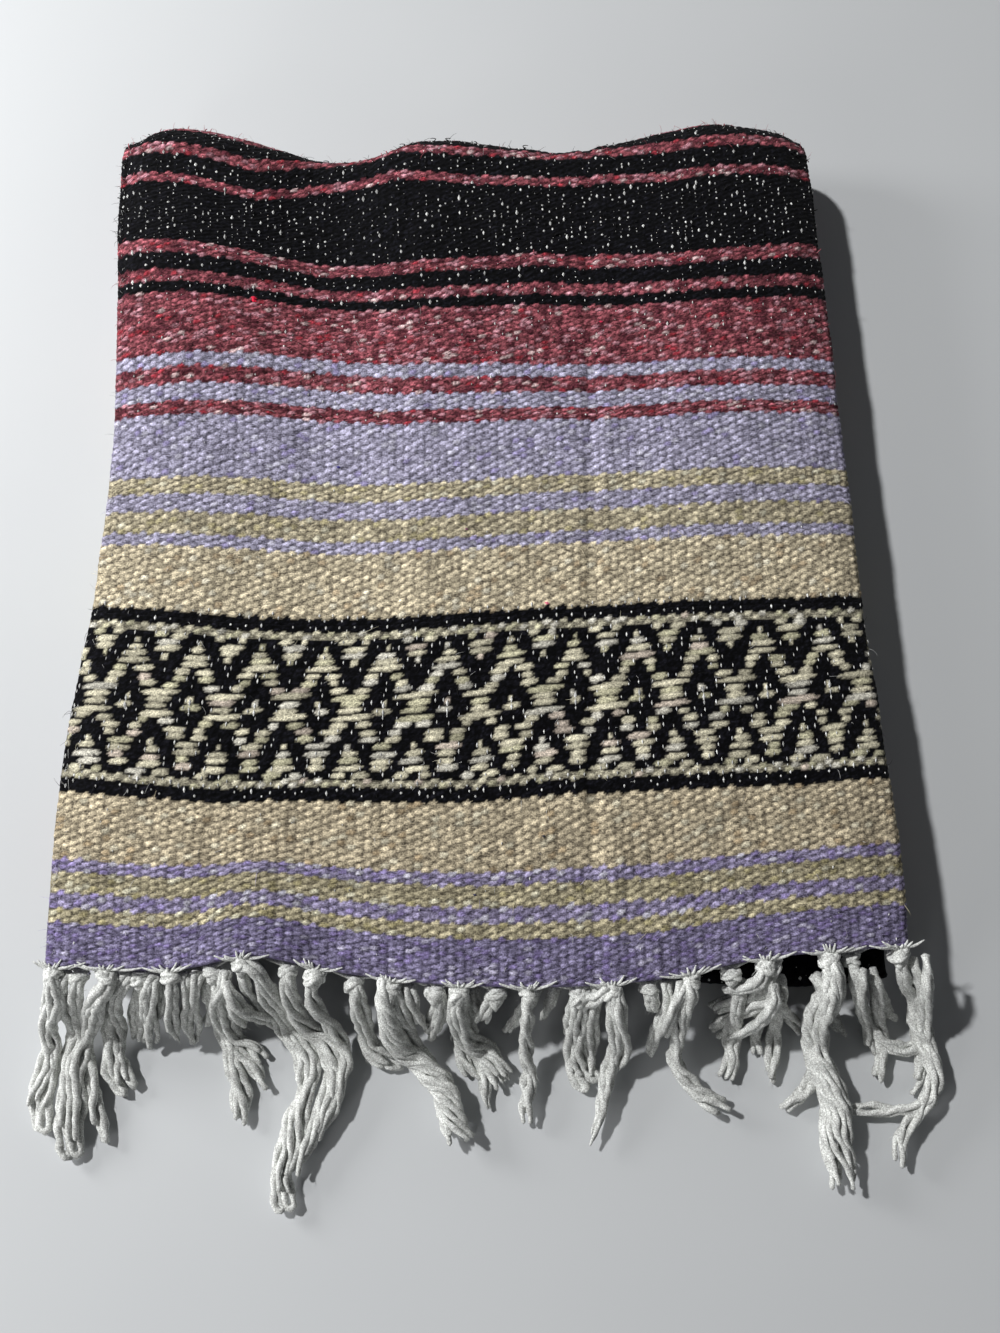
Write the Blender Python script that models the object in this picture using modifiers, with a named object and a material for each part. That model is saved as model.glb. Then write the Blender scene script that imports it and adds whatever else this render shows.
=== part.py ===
# A woven Mexican serape, folded in three across and in four along, lying flat with its knotted
# fringe to the front. Metres, +Z up, X across the stripes' ends, -Y towards the fringe.
# The origin is on the surface that it lies on, under the middle of the cloth and its fringe.

import math
from collections import namedtuple

import bmesh
import bpy
import numpy as np

PLY = 0.00375  # one pressed layer of the cloth
WALL = 0.003  # a sheet that is modelled by itself
GAP = 0.0003  # between neighbouring pieces
STACK = 12 * PLY  # four stretches of three layers each
SIDE_FOLD = 1.5 * PLY  # outer radius of the fat fold down the right side
SIDE_FOLD_TURN = 150  # degrees that the outer sheet goes round it
MIDDLE_FOLD = 3 * PLY  # outer radius of the fold across the blanket's middle
UNDERSIDE_SEAM = -0.120  # Y where the outer sheet meets the middle fold underneath
ACROSS_STEPS = 18  # faces across the stack, alike in the layers so that they lie close
NEAR_LEFT = 0.0115  # the share of the way across at which the inner layers' edge begins
ALONG_STEPS = 14  # faces from the hem to the back fold
BEND_STEPS = 8  # faces round the back fold
UNDER_STEPS = 3  # faces along the underside
SIDE_STEPS = 5  # faces round the right side fold
FOLD_STEPS = 6  # faces round the middle fold
TUCK = 0.012  # how far the middle fold's sheet runs back between the stretches
FOLD_LEFT_BACK = 0.0015  # the middle fold's left edge stands back from the outer sheet's,
FOLD_RIGHT_BACK = 0.0012  # and its right edge from the side fold
TUCK_LEFT_BACK = 0.0040  # how much farther each stands back where the sheet is tucked in
TUCK_RIGHT_BACK = 0.0066
FRONT_HEART = 0.017  # height at which the inner layers' front closes in at each side
LAYER_GROOVES = (0.0018, 0.0018, 0.0042, 0.0018)  # depth between their hems, going up
FIRST_GROOVE = 0.0014  # depth under the lowest of those hems

STRAND = 0.0030  # across one strand of the fringe
STRAND_PITCH = 0.0035  # between the strands of one tassel
STRAND_FLOOR = 0.0022  # height of a strand's tip over the surface
STRAND_OUT = 0.010  # how far a strand runs straight out from the hem
STRAND_SHORTER = 0.06  # share of the last stretch by which neighbouring strands differ
TIP_SHARE = 0.4  # the share of a strand's points that narrow and sink to its tip
TIP_THINNER = 0.35
OVER_FOLD = 0.003  # how far past the middle fold a strand begins to fall
STRIP = 0.0028  # the woven strip that a row of tassels grows from, deep and high

# Lines across the cloth: the fringed hem, the front of the middle fold, and the line
# over which the outer sheet turns down at the back.
Across = namedtuple("Across", "x hem middle_fold back")
ACROSS = [
    Across(-0.206, -0.1820, -0.1790, 0.2600),
    Across(-0.180, -0.1828, -0.1795, 0.2633),
    Across(-0.140, -0.1833, -0.1800, 0.2590),
    Across(-0.108, -0.1776, -0.1800, 0.2535),
    Across(-0.072, -0.1841, -0.1800, 0.2530),
    Across(-0.038, -0.1885, -0.1805, 0.2595),
    Across(-0.004, -0.1906, -0.1815, 0.2580),
    Across(0.041, -0.1906, -0.1850, 0.2548),
    Across(0.077, -0.1876, -0.1890, 0.2595),
    Across(0.123, -0.1789, -0.1925, 0.2662),
    Across(0.155, -0.1755, -0.1925, 0.2655),
    Across(0.195, -0.1730, -0.1880, 0.2600),
]

# The two side edges, front to back.
Side = namedtuple("Side", "y left right")
SIDES = [
    Side(-0.190, -0.2015, 0.1930),
    Side(-0.165, -0.2032, 0.1940),
    Side(-0.130, -0.2048, 0.1947),
    Side(-0.092, -0.2050, 0.1930),
    Side(-0.053, -0.2028, 0.1908),
    Side(-0.012, -0.1985, 0.1885),
    Side(0.026, -0.1970, 0.1880),
    Side(0.059, -0.1965, 0.1875),
    Side(0.106, -0.1985, 0.1865),
    Side(0.148, -0.2023, 0.1860),
    Side(0.232, -0.2104, 0.1838),
    Side(0.290, -0.2125, 0.1815),
]

# Soft ridges (rise above 0) and troughs in the upper face, each along a line.
Ridge = namedtuple("Ridge", "name x0 y0 x1 y1 half_width rise0 rise1")
RIDGES = [
    Ridge("left_swell", -0.160, -0.120, -0.178, 0.290, 0.056, 0.0015, 0.0058),
    Ridge("left_trough", -0.072, -0.100, -0.092, 0.290, 0.046, -0.0012, -0.0062),
    Ridge("middle_swell", -0.020, 0.000, -0.030, 0.290, 0.044, 0.0004, 0.0018),
    Ridge("middle_trough", 0.045, 0.120, 0.040, 0.290, 0.026, -0.0004, -0.0018),
    Ridge("right_swell", 0.105, -0.080, 0.130, 0.290, 0.062, 0.0012, 0.0056),
    Ridge("hem_wave", -0.110, -0.220, -0.118, -0.120, 0.040, 0.0066, 0.0004),
    Ridge("hem_dip", -0.066, -0.220, -0.072, -0.130, 0.032, -0.0026, -0.0006),
    Ridge("right_hem_lift", 0.150, -0.220, 0.146, -0.130, 0.040, 0.0028, 0.0004),
    Ridge("left_droop", -0.212, -0.200, -0.220, 0.290, 0.026, -0.0030, -0.0052),
    Ridge("right_droop", 0.198, -0.200, 0.188, 0.290, 0.024, -0.0026, -0.0048),
]

# How far each layer's edge stands back from the outer sheet's edge, going inwards through
# the layers: 0 is just under the outer sheet, 1 is the middle of the stack.
LayerEdge = namedtuple("LayerEdge", "inwards stands_back")
LEFT_LAYERS = [
    LayerEdge(0.07, 0.0020),
    LayerEdge(0.22, 0.0008),
    LayerEdge(0.35, 0.0020),
    LayerEdge(0.41, 0.0044),
    LayerEdge(0.48, 0.0022),
    LayerEdge(0.61, 0.0012),
    LayerEdge(0.74, 0.0024),
    LayerEdge(0.80, 0.0042),
    LayerEdge(0.86, 0.0018),
    LayerEdge(0.95, 0.0016),
]
RIGHT_LAYERS = [
    LayerEdge(0.40, SIDE_FOLD),
    LayerEdge(0.44, 0.0050),
    LayerEdge(0.52, 0.0024),
    LayerEdge(0.71, 0.0008),
    LayerEdge(0.87, 0.0018),
    LayerEdge(0.95, 0.0034),
]
EDGE_BEHIND_HEM = 0.0004  # the inner layers' own hems lie this far behind the outer one
LAYER_SWAY = 0.0010  # the layers' edges wander in and out by this much

# The tassels that show, by the layer whose edge they hang from. root is X on the hem,
# bend, knee and tip are (X, Y) where the tassel lies, seen from above.
Tassel = namedtuple("Tassel", "row root bend knee tip strands")
TASSELS = [
    Tassel("upper", -0.197, (-0.205, -0.217), None, (-0.2103, -0.262), 3),
    Tassel("upper", -0.175, (-0.190, -0.223), None, (-0.192, -0.268), 3),
    Tassel("upper", -0.145, (-0.148, -0.205), None, (-0.149, -0.222), 2),
    Tassel("upper", -0.112, (-0.090, -0.222), (-0.083, -0.258), (-0.095, -0.2896), 3),
    Tassel("upper", -0.080, (-0.068, -0.216), (-0.067, -0.244), (-0.076, -0.268), 2),
    Tassel("upper", -0.044, (-0.038, -0.220), (-0.023, -0.240), (-0.014, -0.262), 3),
    Tassel("upper", -0.013, (-0.006, -0.214), None, (0.001, -0.240), 2),
    Tassel("upper", 0.018, (0.017, -0.221), None, (0.017, -0.257), 2),
    Tassel("upper", 0.056, (0.058, -0.218), None, (0.048, -0.266), 3),
    Tassel("upper", 0.094, (0.088, -0.212), (0.089, -0.230), (0.113, -0.252), 2),
    Tassel("upper", 0.127, (0.133, -0.202), None, (0.125, -0.216), 2),
    Tassel("upper", 0.156, (0.157, -0.214), (0.158, -0.244), (0.162, -0.286), 3),
    Tassel("upper", 0.186, (0.200, -0.206), (0.211, -0.232), (0.191, -0.276), 3),
    Tassel("second", -0.186, (-0.178, -0.220), None, (-0.173, -0.262), 2),
    Tassel("second", -0.163, (-0.169, -0.212), None, (-0.164, -0.240), 3),
    Tassel("second", -0.131, (-0.128, -0.199), None, (-0.135, -0.213), 2),
    Tassel("second", -0.094, (-0.108, -0.204), None, (-0.113, -0.222), 2),
    Tassel("second", -0.062, (-0.054, -0.208), None, (-0.049, -0.228), 2),
    Tassel("second", -0.028, (-0.021, -0.204), None, (-0.022, -0.218), 2),
    Tassel("second", 0.003, (0.002, -0.201), None, (0.003, -0.212), 2),
    Tassel("second", 0.037, (0.040, -0.210), None, (0.036, -0.240), 2),
    Tassel("second", 0.074, (0.078, -0.208), None, (0.074, -0.226), 2),
    Tassel("second", 0.111, (0.110, -0.209), None, (0.104, -0.230), 2),
    Tassel("second", 0.142, (0.143, -0.212), None, (0.136, -0.241), 2),
    Tassel("second", 0.170, (0.178, -0.206), None, (0.184, -0.240), 2),
    Tassel("lower", -0.154, (-0.157, -0.208), None, (-0.152, -0.226), 1),
    Tassel("lower", -0.120, (-0.122, -0.220), None, (-0.118, -0.258), 2),
    Tassel("lower", -0.038, (-0.034, -0.204), None, (-0.036, -0.214), 1),
    Tassel("lower", 0.010, (0.010, -0.204), None, (0.010, -0.222), 1),
    Tassel("lower", 0.065, (0.066, -0.206), None, (0.065, -0.222), 1),
    Tassel("lower", 0.101, (0.100, -0.209), None, (0.096, -0.222), 1),
]

# Where each row's strip lies before the hem and under its upper face, how high its tassels
# rest, and over what distance they fall.
Row = namedtuple("Row", "name before_hem below_top rests_at drop")
ROWS = [
    Row("upper", 0.0008, 0.0015, 0.0088, 0.040),
    Row("second", 0.0, 0.0078, 0.0054, 0.032),
    Row("lower", 0.0, 0.0165, 0.0022, 0.026),
]

CLOTH_GREY = (0.60, 0.61, 0.60)
CLOTH_LILAC = (0.37, 0.34, 0.55)
CLOTH_BLACK = (0.03, 0.03, 0.04)
CLOTH_BEIGE = (0.47, 0.39, 0.27)


def smooth(rows, key, value, at):
    """The named column, as a smooth curve through the table's rows."""
    xs = np.array([getattr(row, key) for row in rows])
    ys = np.array([getattr(row, value) for row in rows])
    slopes = np.gradient(ys, xs)
    at = min(max(at, xs[0]), xs[-1])
    i = min(int(np.searchsorted(xs, at, side="right")) - 1, len(xs) - 2)
    span = xs[i + 1] - xs[i]
    t = (at - xs[i]) / span
    rise = t * t * (3 - 2 * t)
    start = t * (1 - t) ** 2 * span * slopes[i]
    end = t * t * (t - 1) * span * slopes[i + 1]
    return float(ys[i] * (1 - rise) + ys[i + 1] * rise + start + end)


def hem(x):
    return smooth(ACROSS, "x", "hem", x)


def middle_fold(x):
    return smooth(ACROSS, "x", "middle_fold", x)


def back(x):
    return smooth(ACROSS, "x", "back", x)


def left(y):
    return smooth(SIDES, "y", "left", y)


def right(y):
    return smooth(SIDES, "y", "right", y)


def height(x, y):
    """The upper face over the surface that the blanket lies on."""
    z = STACK
    for ridge in RIDGES:
        along_x = ridge.x1 - ridge.x0
        along_y = ridge.y1 - ridge.y0
        share = ((x - ridge.x0) * along_x + (y - ridge.y0) * along_y) / (along_x**2 + along_y**2)
        share = min(max(share, 0.0), 1.0)
        off = math.hypot(x - ridge.x0 - share * along_x, y - ridge.y0 - share * along_y)
        near = max(0.0, 1 - (off / ridge.half_width) ** 2)
        z += (ridge.rise0 + (ridge.rise1 - ridge.rise0) * share) * near**2
    return z


def met(share, line, spare_left=0.0, spare_right=0.0):
    """(x, y) where a line across the cloth meets a thread that runs this share of the way
    from the left edge, less what is spared at each side."""
    x = 0.0
    for _ in range(4):
        y = line(x)
        low, high = left(y) + spare_left, right(y) - spare_right
        x = low + (high - low) * share
    return x, line(x)


def collection_named(name):
    made = bpy.data.collections.new(name)
    bpy.context.scene.collection.children.link(made)
    return made


def cloth_material(name, color, roughness=0.9):
    made = bpy.data.materials.new(name)
    made.use_nodes = True
    shader = made.node_tree.nodes["Principled BSDF"]
    shader.inputs["Base Color"].default_value = (*color, 1)
    shader.inputs["Roughness"].default_value = roughness
    shader.inputs["Metallic"].default_value = 0.0
    return made


def object_from(name, points, faces, into, material):
    mesh = bpy.data.meshes.new(name)
    mesh.from_pydata(points, [], faces)
    work = bmesh.new()
    work.from_mesh(mesh)
    bmesh.ops.recalc_face_normals(work, faces=work.faces)
    work.to_mesh(mesh)
    work.free()
    mesh.materials.append(material)
    made = bpy.data.objects.new(name, mesh)
    into.objects.link(made)
    return made


def woven_sheet(name, grid, into, material, outwards):
    """A sheet of the cloth's wall from a grid of points on its outer face."""
    rows = len(grid)
    columns = len(grid[0])
    points = [point for row in grid for point in row]
    faces = []
    for i in range(rows - 1):
        for j in range(columns - 1):
            corner = i * columns + j
            faces.append((corner, corner + 1, corner + columns + 1, corner + columns))
    made = object_from(name, points, faces, into, material)
    if made.data.polygons[0].normal.dot(outwards) < 0:
        made.data.flip_normals()
    made.data.shade_smooth()
    shell = made.modifiers.new("cloth_wall", "SOLIDIFY")
    shell.thickness = WALL
    shell.offset = -1
    shell.use_even_offset = True
    return made


def outer_path(front, turn):
    """Steps along the outer sheet: Y over the top, degrees round the back, Y forward below."""
    path = []
    for i in range(ALONG_STEPS + 1):
        path.append((front + (turn - front) * i / ALONG_STEPS, "top"))
    for i in range(1, BEND_STEPS):
        path.append((90 - 180 * i / BEND_STEPS, "back"))
    for i in range(UNDER_STEPS + 1):
        path.append((turn + (UNDERSIDE_SEAM - turn) * i / UNDER_STEPS, "under"))
    return path


def outer_point(x, at, where, inset, turn):
    """(y, z) on the outer sheet, inset from its outer face. turn is Y of the back line."""
    if where == "top":
        return at, height(x, at) - inset
    if where == "under":
        return at, inset
    radius = height(x, turn) / 2
    angle = math.radians(at)
    return turn + (radius - inset) * math.cos(angle), radius + (radius - inset) * math.sin(angle)


def outer_sheet(into):
    """The upper layer: from its hem back over the top, round the back and forward below.
    Its left edge is free, and its right edge goes round the fat side fold."""
    stations = [(0.0, 0.0), (NEAR_LEFT, 0.0)]
    stations += [(i / ACROSS_STEPS, 0.0) for i in range(1, ACROSS_STEPS + 1)]
    stations += [(1.0, SIDE_FOLD_TURN * (i + 1) / SIDE_STEPS) for i in range(SIDE_STEPS)]
    grid = []
    for share, angle in stations:
        reach = SIDE_FOLD * math.sin(math.radians(angle))
        inset = SIDE_FOLD * (1 - math.cos(math.radians(angle)))
        front = met(share, hem, 0, SIDE_FOLD)[1]
        turn = met(share, back, 0, SIDE_FOLD)[1]
        row = []
        for at, where in outer_path(front, turn):
            y_flat = turn if where == "back" else at
            near_right = right(y_flat) - SIDE_FOLD
            x = left(y_flat) + (near_right - left(y_flat)) * share + reach
            y, z = outer_point(min(x, near_right), at, where, inset, turn)
            row.append((x, y, z))
        grid.append(row)
    return woven_sheet("outer_cloth", grid, into, cloth_material("lilac_stripes", CLOTH_LILAC), (0, 0, 1))


def middle_fold_sheet(into):
    """The stretch round the blanket's middle, a rounded fold at the front under both hems."""
    grid = []
    for i in range(ACROSS_STEPS + 1):
        share = i / ACROSS_STEPS
        centre = met(share, middle_fold, 0, SIDE_FOLD)[1] + MIDDLE_FOLD
        path = [(UNDERSIDE_SEAM - GAP, 0.0)]
        for step in range(FOLD_STEPS + 1):
            angle = math.radians(-90 - 180 * step / FOLD_STEPS)
            path.append((centre + MIDDLE_FOLD * math.cos(angle), MIDDLE_FOLD * (1 + math.sin(angle))))
        path.append((centre + TUCK, 2 * MIDDLE_FOLD))
        row = []
        for y, z in path:
            tucked = max(0.0, z / MIDDLE_FOLD - 1)
            x = left(y) + (right(y) - SIDE_FOLD - left(y)) * share
            if i == 0:
                x = left(y) + FOLD_LEFT_BACK + TUCK_LEFT_BACK * tucked
            if i == ACROSS_STEPS:
                x = right(y) - FOLD_RIGHT_BACK - TUCK_RIGHT_BACK * tucked
            row.append((x, y, z))
        grid.append(row)
    return woven_sheet("middle_fold", grid, into, cloth_material("black_band", CLOTH_BLACK), (0, 0, -1))


def front_profile(x):
    """(y, z) up the front of the inner layers: inside the middle fold, then the layers' edges."""
    front, edge = middle_fold(x), hem(x) + EDGE_BEHIND_HEM
    clear = WALL + GAP
    bend = MIDDLE_FOLD - clear
    top = height(x, edge) - clear
    profile = []
    for step in range(1, FOLD_STEPS + 1):
        a = math.radians(-90 + 180 * step / FOLD_STEPS)
        profile.append((front + MIDDLE_FOLD - bend * math.cos(a), MIDDLE_FOLD + bend * math.sin(a)))
    tucked = front + MIDDLE_FOLD + TUCK + GAP
    shelf = 2 * MIDDLE_FOLD + GAP
    profile += [(tucked, MIDDLE_FOLD + bend), (tucked, shelf)]
    layer = (top - shelf) / (len(LAYER_GROOVES) + 1)
    profile.append((edge + FIRST_GROOVE, shelf + layer * 0.1))
    for i, groove in enumerate(LAYER_GROOVES):
        profile.append((edge, shelf + layer * (i + 0.5)))
        profile.append((edge + groove, shelf + layer * (i + 1)))
    profile.append((edge, shelf + layer * (len(LAYER_GROOVES) + 0.5)))
    return profile


def inner_section(x_at, inwards):
    """One closed ring of the inner layers: over the top, round the back, below, up the front.
    x_at(y) gives X there, and inwards is how deep in the stack the ring lies."""
    clear = WALL + GAP
    front, turn, edge = 0.0, 0.0, 0.0
    for _ in range(4):
        front = middle_fold(x_at(front)) + MIDDLE_FOLD
        turn = back(x_at(turn))
        edge = hem(x_at(edge)) + EDGE_BEHIND_HEM
    ring = []

    def flat(y, side):
        x = x_at(y)
        half = height(x, y) / 2
        ring.append((x, y, half + side * (half - clear) * (1 - inwards)))

    for i in range(ALONG_STEPS + 1):
        flat(edge + (turn - edge) * i / ALONG_STEPS, 1)
    middle = height(x_at(turn), turn) / 2
    radius = (middle - clear) * (1 - inwards)
    for i in range(1, BEND_STEPS):
        angle = math.radians(90 - 180 * i / BEND_STEPS)
        ring.append((x_at(turn), turn + radius * math.cos(angle), middle + radius * math.sin(angle)))
    for i in range(ALONG_STEPS + 1):
        flat(turn + (front - turn) * i / ALONG_STEPS, -1)
    middle = height(x_at(edge), edge) / 2
    fold_middle = FRONT_HEART + (middle - FRONT_HEART) * inwards**2
    for y, z in front_profile(x_at(edge)):
        if z < 2 * MIDDLE_FOLD:
            y = max(y, front) + (min(y, front) - front) * (1 - inwards)
            ring.append((x_at(y), y, fold_middle + (z - fold_middle) * (1 - inwards)))
        else:
            ring.append((x_at(y), y, middle + (z - middle) * (1 - inwards)))
    return ring


def inner_layers(into):
    """All the layers inside the outer sheet as one rounded body, layered at its edges."""
    rings = []

    def sway(y, inwards):
        return LAYER_SWAY * math.sin(31 * y + 11 * inwards)

    def from_left(edge):
        return lambda y: left(y) + edge.stands_back + sway(y, edge.inwards) * edge.inwards

    def from_right(edge):
        return lambda y: right(y) - edge.stands_back - sway(y, edge.inwards) * edge.inwards

    def under_thread(share):
        return lambda y: left(y) + (right(y) - SIDE_FOLD - left(y)) * share

    for edge in reversed(LEFT_LAYERS):
        rings.append(inner_section(from_left(edge), edge.inwards))
    rings.append(inner_section(under_thread(NEAR_LEFT), 0.0))
    for i in range(1, ACROSS_STEPS + 1):
        rings.append(inner_section(under_thread(i / ACROSS_STEPS), 0.0))
    for edge in RIGHT_LAYERS:
        rings.append(inner_section(from_right(edge), edge.inwards))

    count = len(rings[0])
    points = [point for ring in rings for point in ring]
    faces = []
    for i in range(len(rings) - 1):
        for j in range(count):
            k = (j + 1) % count
            faces.append((i * count + j, i * count + k, (i + 1) * count + k, (i + 1) * count + j))
    last_below = 2 * ALONG_STEPS + BEND_STEPS
    for start in (0, (len(rings) - 1) * count):
        for j in range(last_below // 2):
            pair = last_below - j
            if pair - 1 == j + 1:
                faces.append((start + j, start + j + 1, start + pair))
            else:
                faces.append((start + j, start + j + 1, start + pair - 1, start + pair))
        faces.append([start] + [start + j for j in range(last_below, count)])
    return object_from("inner_layers", points, faces, into, cloth_material("folded_layers", CLOTH_BEIGE))


def strip(row, low, high, into, material):
    """The strip in front of one layer's edge, from the hem's thread low to its thread high."""
    half = STRIP / 2
    steps = high - low
    points = []
    for i in range(low, high + 1):
        x, y = met(i / ACROSS_STEPS, hem, 0, SIDE_FOLD)
        middle = height(x, y) - row.below_top
        for over, behind in ((-half, 0), (half, 0), (half, STRIP), (-half, STRIP)):
            points.append((x, y - row.before_hem - behind, middle + over))
    faces = [(0, 1, 2, 3), tuple(4 * steps + j for j in (3, 2, 1, 0))]
    for i in range(steps):
        for j in range(4):
            k = (j + 1) % 4
            faces.append((4 * i + j, 4 * i + 4 + j, 4 * i + 4 + k, 4 * i + k))
    return object_from("fringe_" + row.name, points, faces, into, material)


def through(points, steps):
    """Points on a smooth curve through the given (x, y) points."""
    points = [np.array(point, float) for point in points]
    ends = [2 * points[0] - points[1]] + points + [2 * points[-1] - points[-2]]
    made = []
    spans = len(points) - 1
    for i in range(steps + 1):
        at = spans * i / steps
        k = min(int(at), spans - 1)
        t = at - k
        a, b, c, d = ends[k : k + 4]
        made.append(
            0.5 * (2 * b + (c - a) * t + (2 * a - 5 * b + 4 * c - d) * t * t + (3 * b - a - 3 * c + d) * t**3)
        )
    return made


def strand_paths(tassel, row):
    """The strands of one tassel, side by side, from the strip down to the surface."""
    start = hem(tassel.root) - row.before_hem - STRIP / 2
    route = [(tassel.root, start), (tassel.root, start - STRAND_OUT), tassel.bend, tassel.knee, tassel.tip]
    route = [point for point in route if point]
    route = through(route, len(route) + 1)
    high = height(tassel.root, hem(tassel.root)) - row.below_top
    over_fold = max(0.0, start - middle_fold(tassel.root)) + OVER_FOLD
    paths = []
    for strand in range(tassel.strands):
        aside = (strand - (tassel.strands - 1) / 2) * STRAND_PITCH
        reach = 1 - STRAND_SHORTER * ((strand * 2 + int(tassel.root * 1000)) % 3)
        gone = 0.0
        path = []
        for i, point in enumerate(route):
            before = route[max(i - 1, 0)]
            after = route[min(i + 1, len(route) - 1)]
            along = (after - before) / np.linalg.norm(after - before)
            gone += float(np.linalg.norm(point - before))
            fall = min(max((gone - over_fold) / row.drop, 0.0), 1.0)
            fall = fall * fall * (3 - 2 * fall)
            near_tip = max(0.0, (i / (len(route) - 1) - 1 + TIP_SHARE) / TIP_SHARE)
            rests = row.rests_at + (STRAND_FLOOR - row.rests_at) * near_tip
            if i == len(route) - 1:
                point = before + (point - before) * reach
            x = point[0] + aside * -along[1]
            y = point[1] + aside * along[0]
            path.append((x, y, high + (rests - high) * fall, 1 - TIP_THINNER * near_tip))
        paths.append(path)
    return paths


def strands(row, into, material):
    curve = bpy.data.curves.new("strands_" + row.name, "CURVE")
    curve.dimensions = "3D"
    curve.bevel_depth = STRAND / 2
    curve.bevel_resolution = 0
    curve.use_fill_caps = True
    for tassel in TASSELS:
        if tassel.row != row.name:
            continue
        for path in strand_paths(tassel, row):
            spline = curve.splines.new("POLY")
            spline.points.add(len(path) - 1)
            for point, (x, y, z, thin) in zip(spline.points, path):
                point.co = (x, y, z, 1)
                point.radius = thin
    guide = bpy.data.objects.new("strands_" + row.name, curve)
    into.objects.link(guide)
    bpy.context.view_layer.update()
    graph = bpy.context.evaluated_depsgraph_get()
    mesh = bpy.data.meshes.new_from_object(guide.evaluated_get(graph))
    bpy.data.objects.remove(guide)
    work = bmesh.new()
    work.from_mesh(mesh)
    bmesh.ops.remove_doubles(work, verts=work.verts, dist=0.00001)
    bmesh.ops.recalc_face_normals(work, faces=work.faces)
    work.to_mesh(mesh)
    work.free()
    mesh.materials.append(material)
    made = bpy.data.objects.new("strands_" + row.name, mesh)
    made.hide_render = True
    made.display_type = "WIRE"
    into.objects.link(made)
    return made


def fringe(row, into, helpers):
    """One layer's row of tassels: the strands, joined at their roots to the strip."""
    material = cloth_material("fringe_" + row.name, CLOTH_GREY)
    roots = [tassel.root for tassel in TASSELS if tassel.row == row.name]
    shares = [(root - left(hem(root))) / (right(hem(root)) - SIDE_FOLD - left(hem(root))) for root in roots]
    low = math.floor(min(shares) * ACROSS_STEPS - 0.3)
    high = math.ceil(max(shares) * ACROSS_STEPS + 0.3)
    made = strip(row, max(low, 0), min(high, ACROSS_STEPS), into, material)
    join = made.modifiers.new("rooted", "BOOLEAN")
    join.operation = "UNION"
    join.object = strands(row, helpers, material)
    return made


def main():
    for obj in list(bpy.data.objects):
        bpy.data.objects.remove(obj)
    bpy.context.scene.unit_settings.system = "METRIC"
    serape = collection_named("serape")
    helpers = collection_named("helpers")
    helpers.hide_render = True
    outer_sheet(serape)
    middle_fold_sheet(serape)
    inner_layers(serape)
    for row in ROWS:
        fringe(row, serape, helpers)


main()
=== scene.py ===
import math
from math import pi
import bpy
import numpy as np
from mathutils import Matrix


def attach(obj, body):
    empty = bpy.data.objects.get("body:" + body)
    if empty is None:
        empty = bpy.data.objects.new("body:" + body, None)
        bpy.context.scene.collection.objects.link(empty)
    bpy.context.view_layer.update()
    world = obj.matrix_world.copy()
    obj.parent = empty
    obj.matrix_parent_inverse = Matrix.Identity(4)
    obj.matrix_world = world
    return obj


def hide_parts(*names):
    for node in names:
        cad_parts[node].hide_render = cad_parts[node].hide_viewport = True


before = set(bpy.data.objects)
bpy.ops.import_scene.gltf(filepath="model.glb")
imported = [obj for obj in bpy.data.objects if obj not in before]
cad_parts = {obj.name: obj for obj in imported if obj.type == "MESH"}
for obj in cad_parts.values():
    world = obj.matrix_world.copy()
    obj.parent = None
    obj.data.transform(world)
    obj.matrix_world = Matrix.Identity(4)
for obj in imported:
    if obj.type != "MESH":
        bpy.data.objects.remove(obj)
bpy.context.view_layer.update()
print("folded serape: solids loaded")

# the view, the lamps and the pale floor

studio = {
    "camera": (0.005, -0.1729, 0.5172),
    "tilt": 15.5,  # degrees off straight down
    "lens": 27.0,
    "sensor": 36.0,
    "nearest": 0.01,
    "roomColor": (0.95, 0.97, 1.0, 1),
    "roomLight": 0.072,
}
lamps = {  # where each stands, what it faces, its size and its power
    "keyLamp": ((-1.556, 0.80, 2.04), (0, 0.02, 0), 0.15, 61.0),
    "sideLamp": ((-1.08, 0.36, 0.45), (0, 0, 0), 0.40, 8.0),  # low and soft, from the left
    "fillLamp": ((-0.8, -1.0, 0.5), (0, 0, 0), 0.5, 2.7),
}


def placed(obj):
    bpy.context.scene.collection.objects.link(obj)
    return obj


view = bpy.data.cameras.new("view")
view.lens, view.sensor_width, view.clip_start = studio["lens"], studio["sensor"], studio["nearest"]
camera = placed(bpy.data.objects.new("view", view))
camera.location = studio["camera"]
camera.rotation_euler = (math.radians(studio["tilt"]), 0, 0)
bpy.context.scene.camera = camera
for name, (stand, aim, size, power) in lamps.items():
    light = bpy.data.lights.new(name, "AREA")
    light.shape, light.size, light.energy = "DISK", size, power
    lamp = placed(bpy.data.objects.new(name, light))
    lamp.location = stand
    x, y, z = np.array(aim) - np.array(stand)
    lamp.rotation_euler = (math.atan2(math.hypot(x, y), -z), 0, math.atan2(-x, y))
world = bpy.data.worlds.new("room")
world.use_nodes = True
background = world.node_tree.nodes["Background"].inputs
background["Color"].default_value = studio["roomColor"]
background["Strength"].default_value = studio["roomLight"]
bpy.context.scene.world = world
bpy.context.scene.view_settings.view_transform = "Standard"


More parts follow.
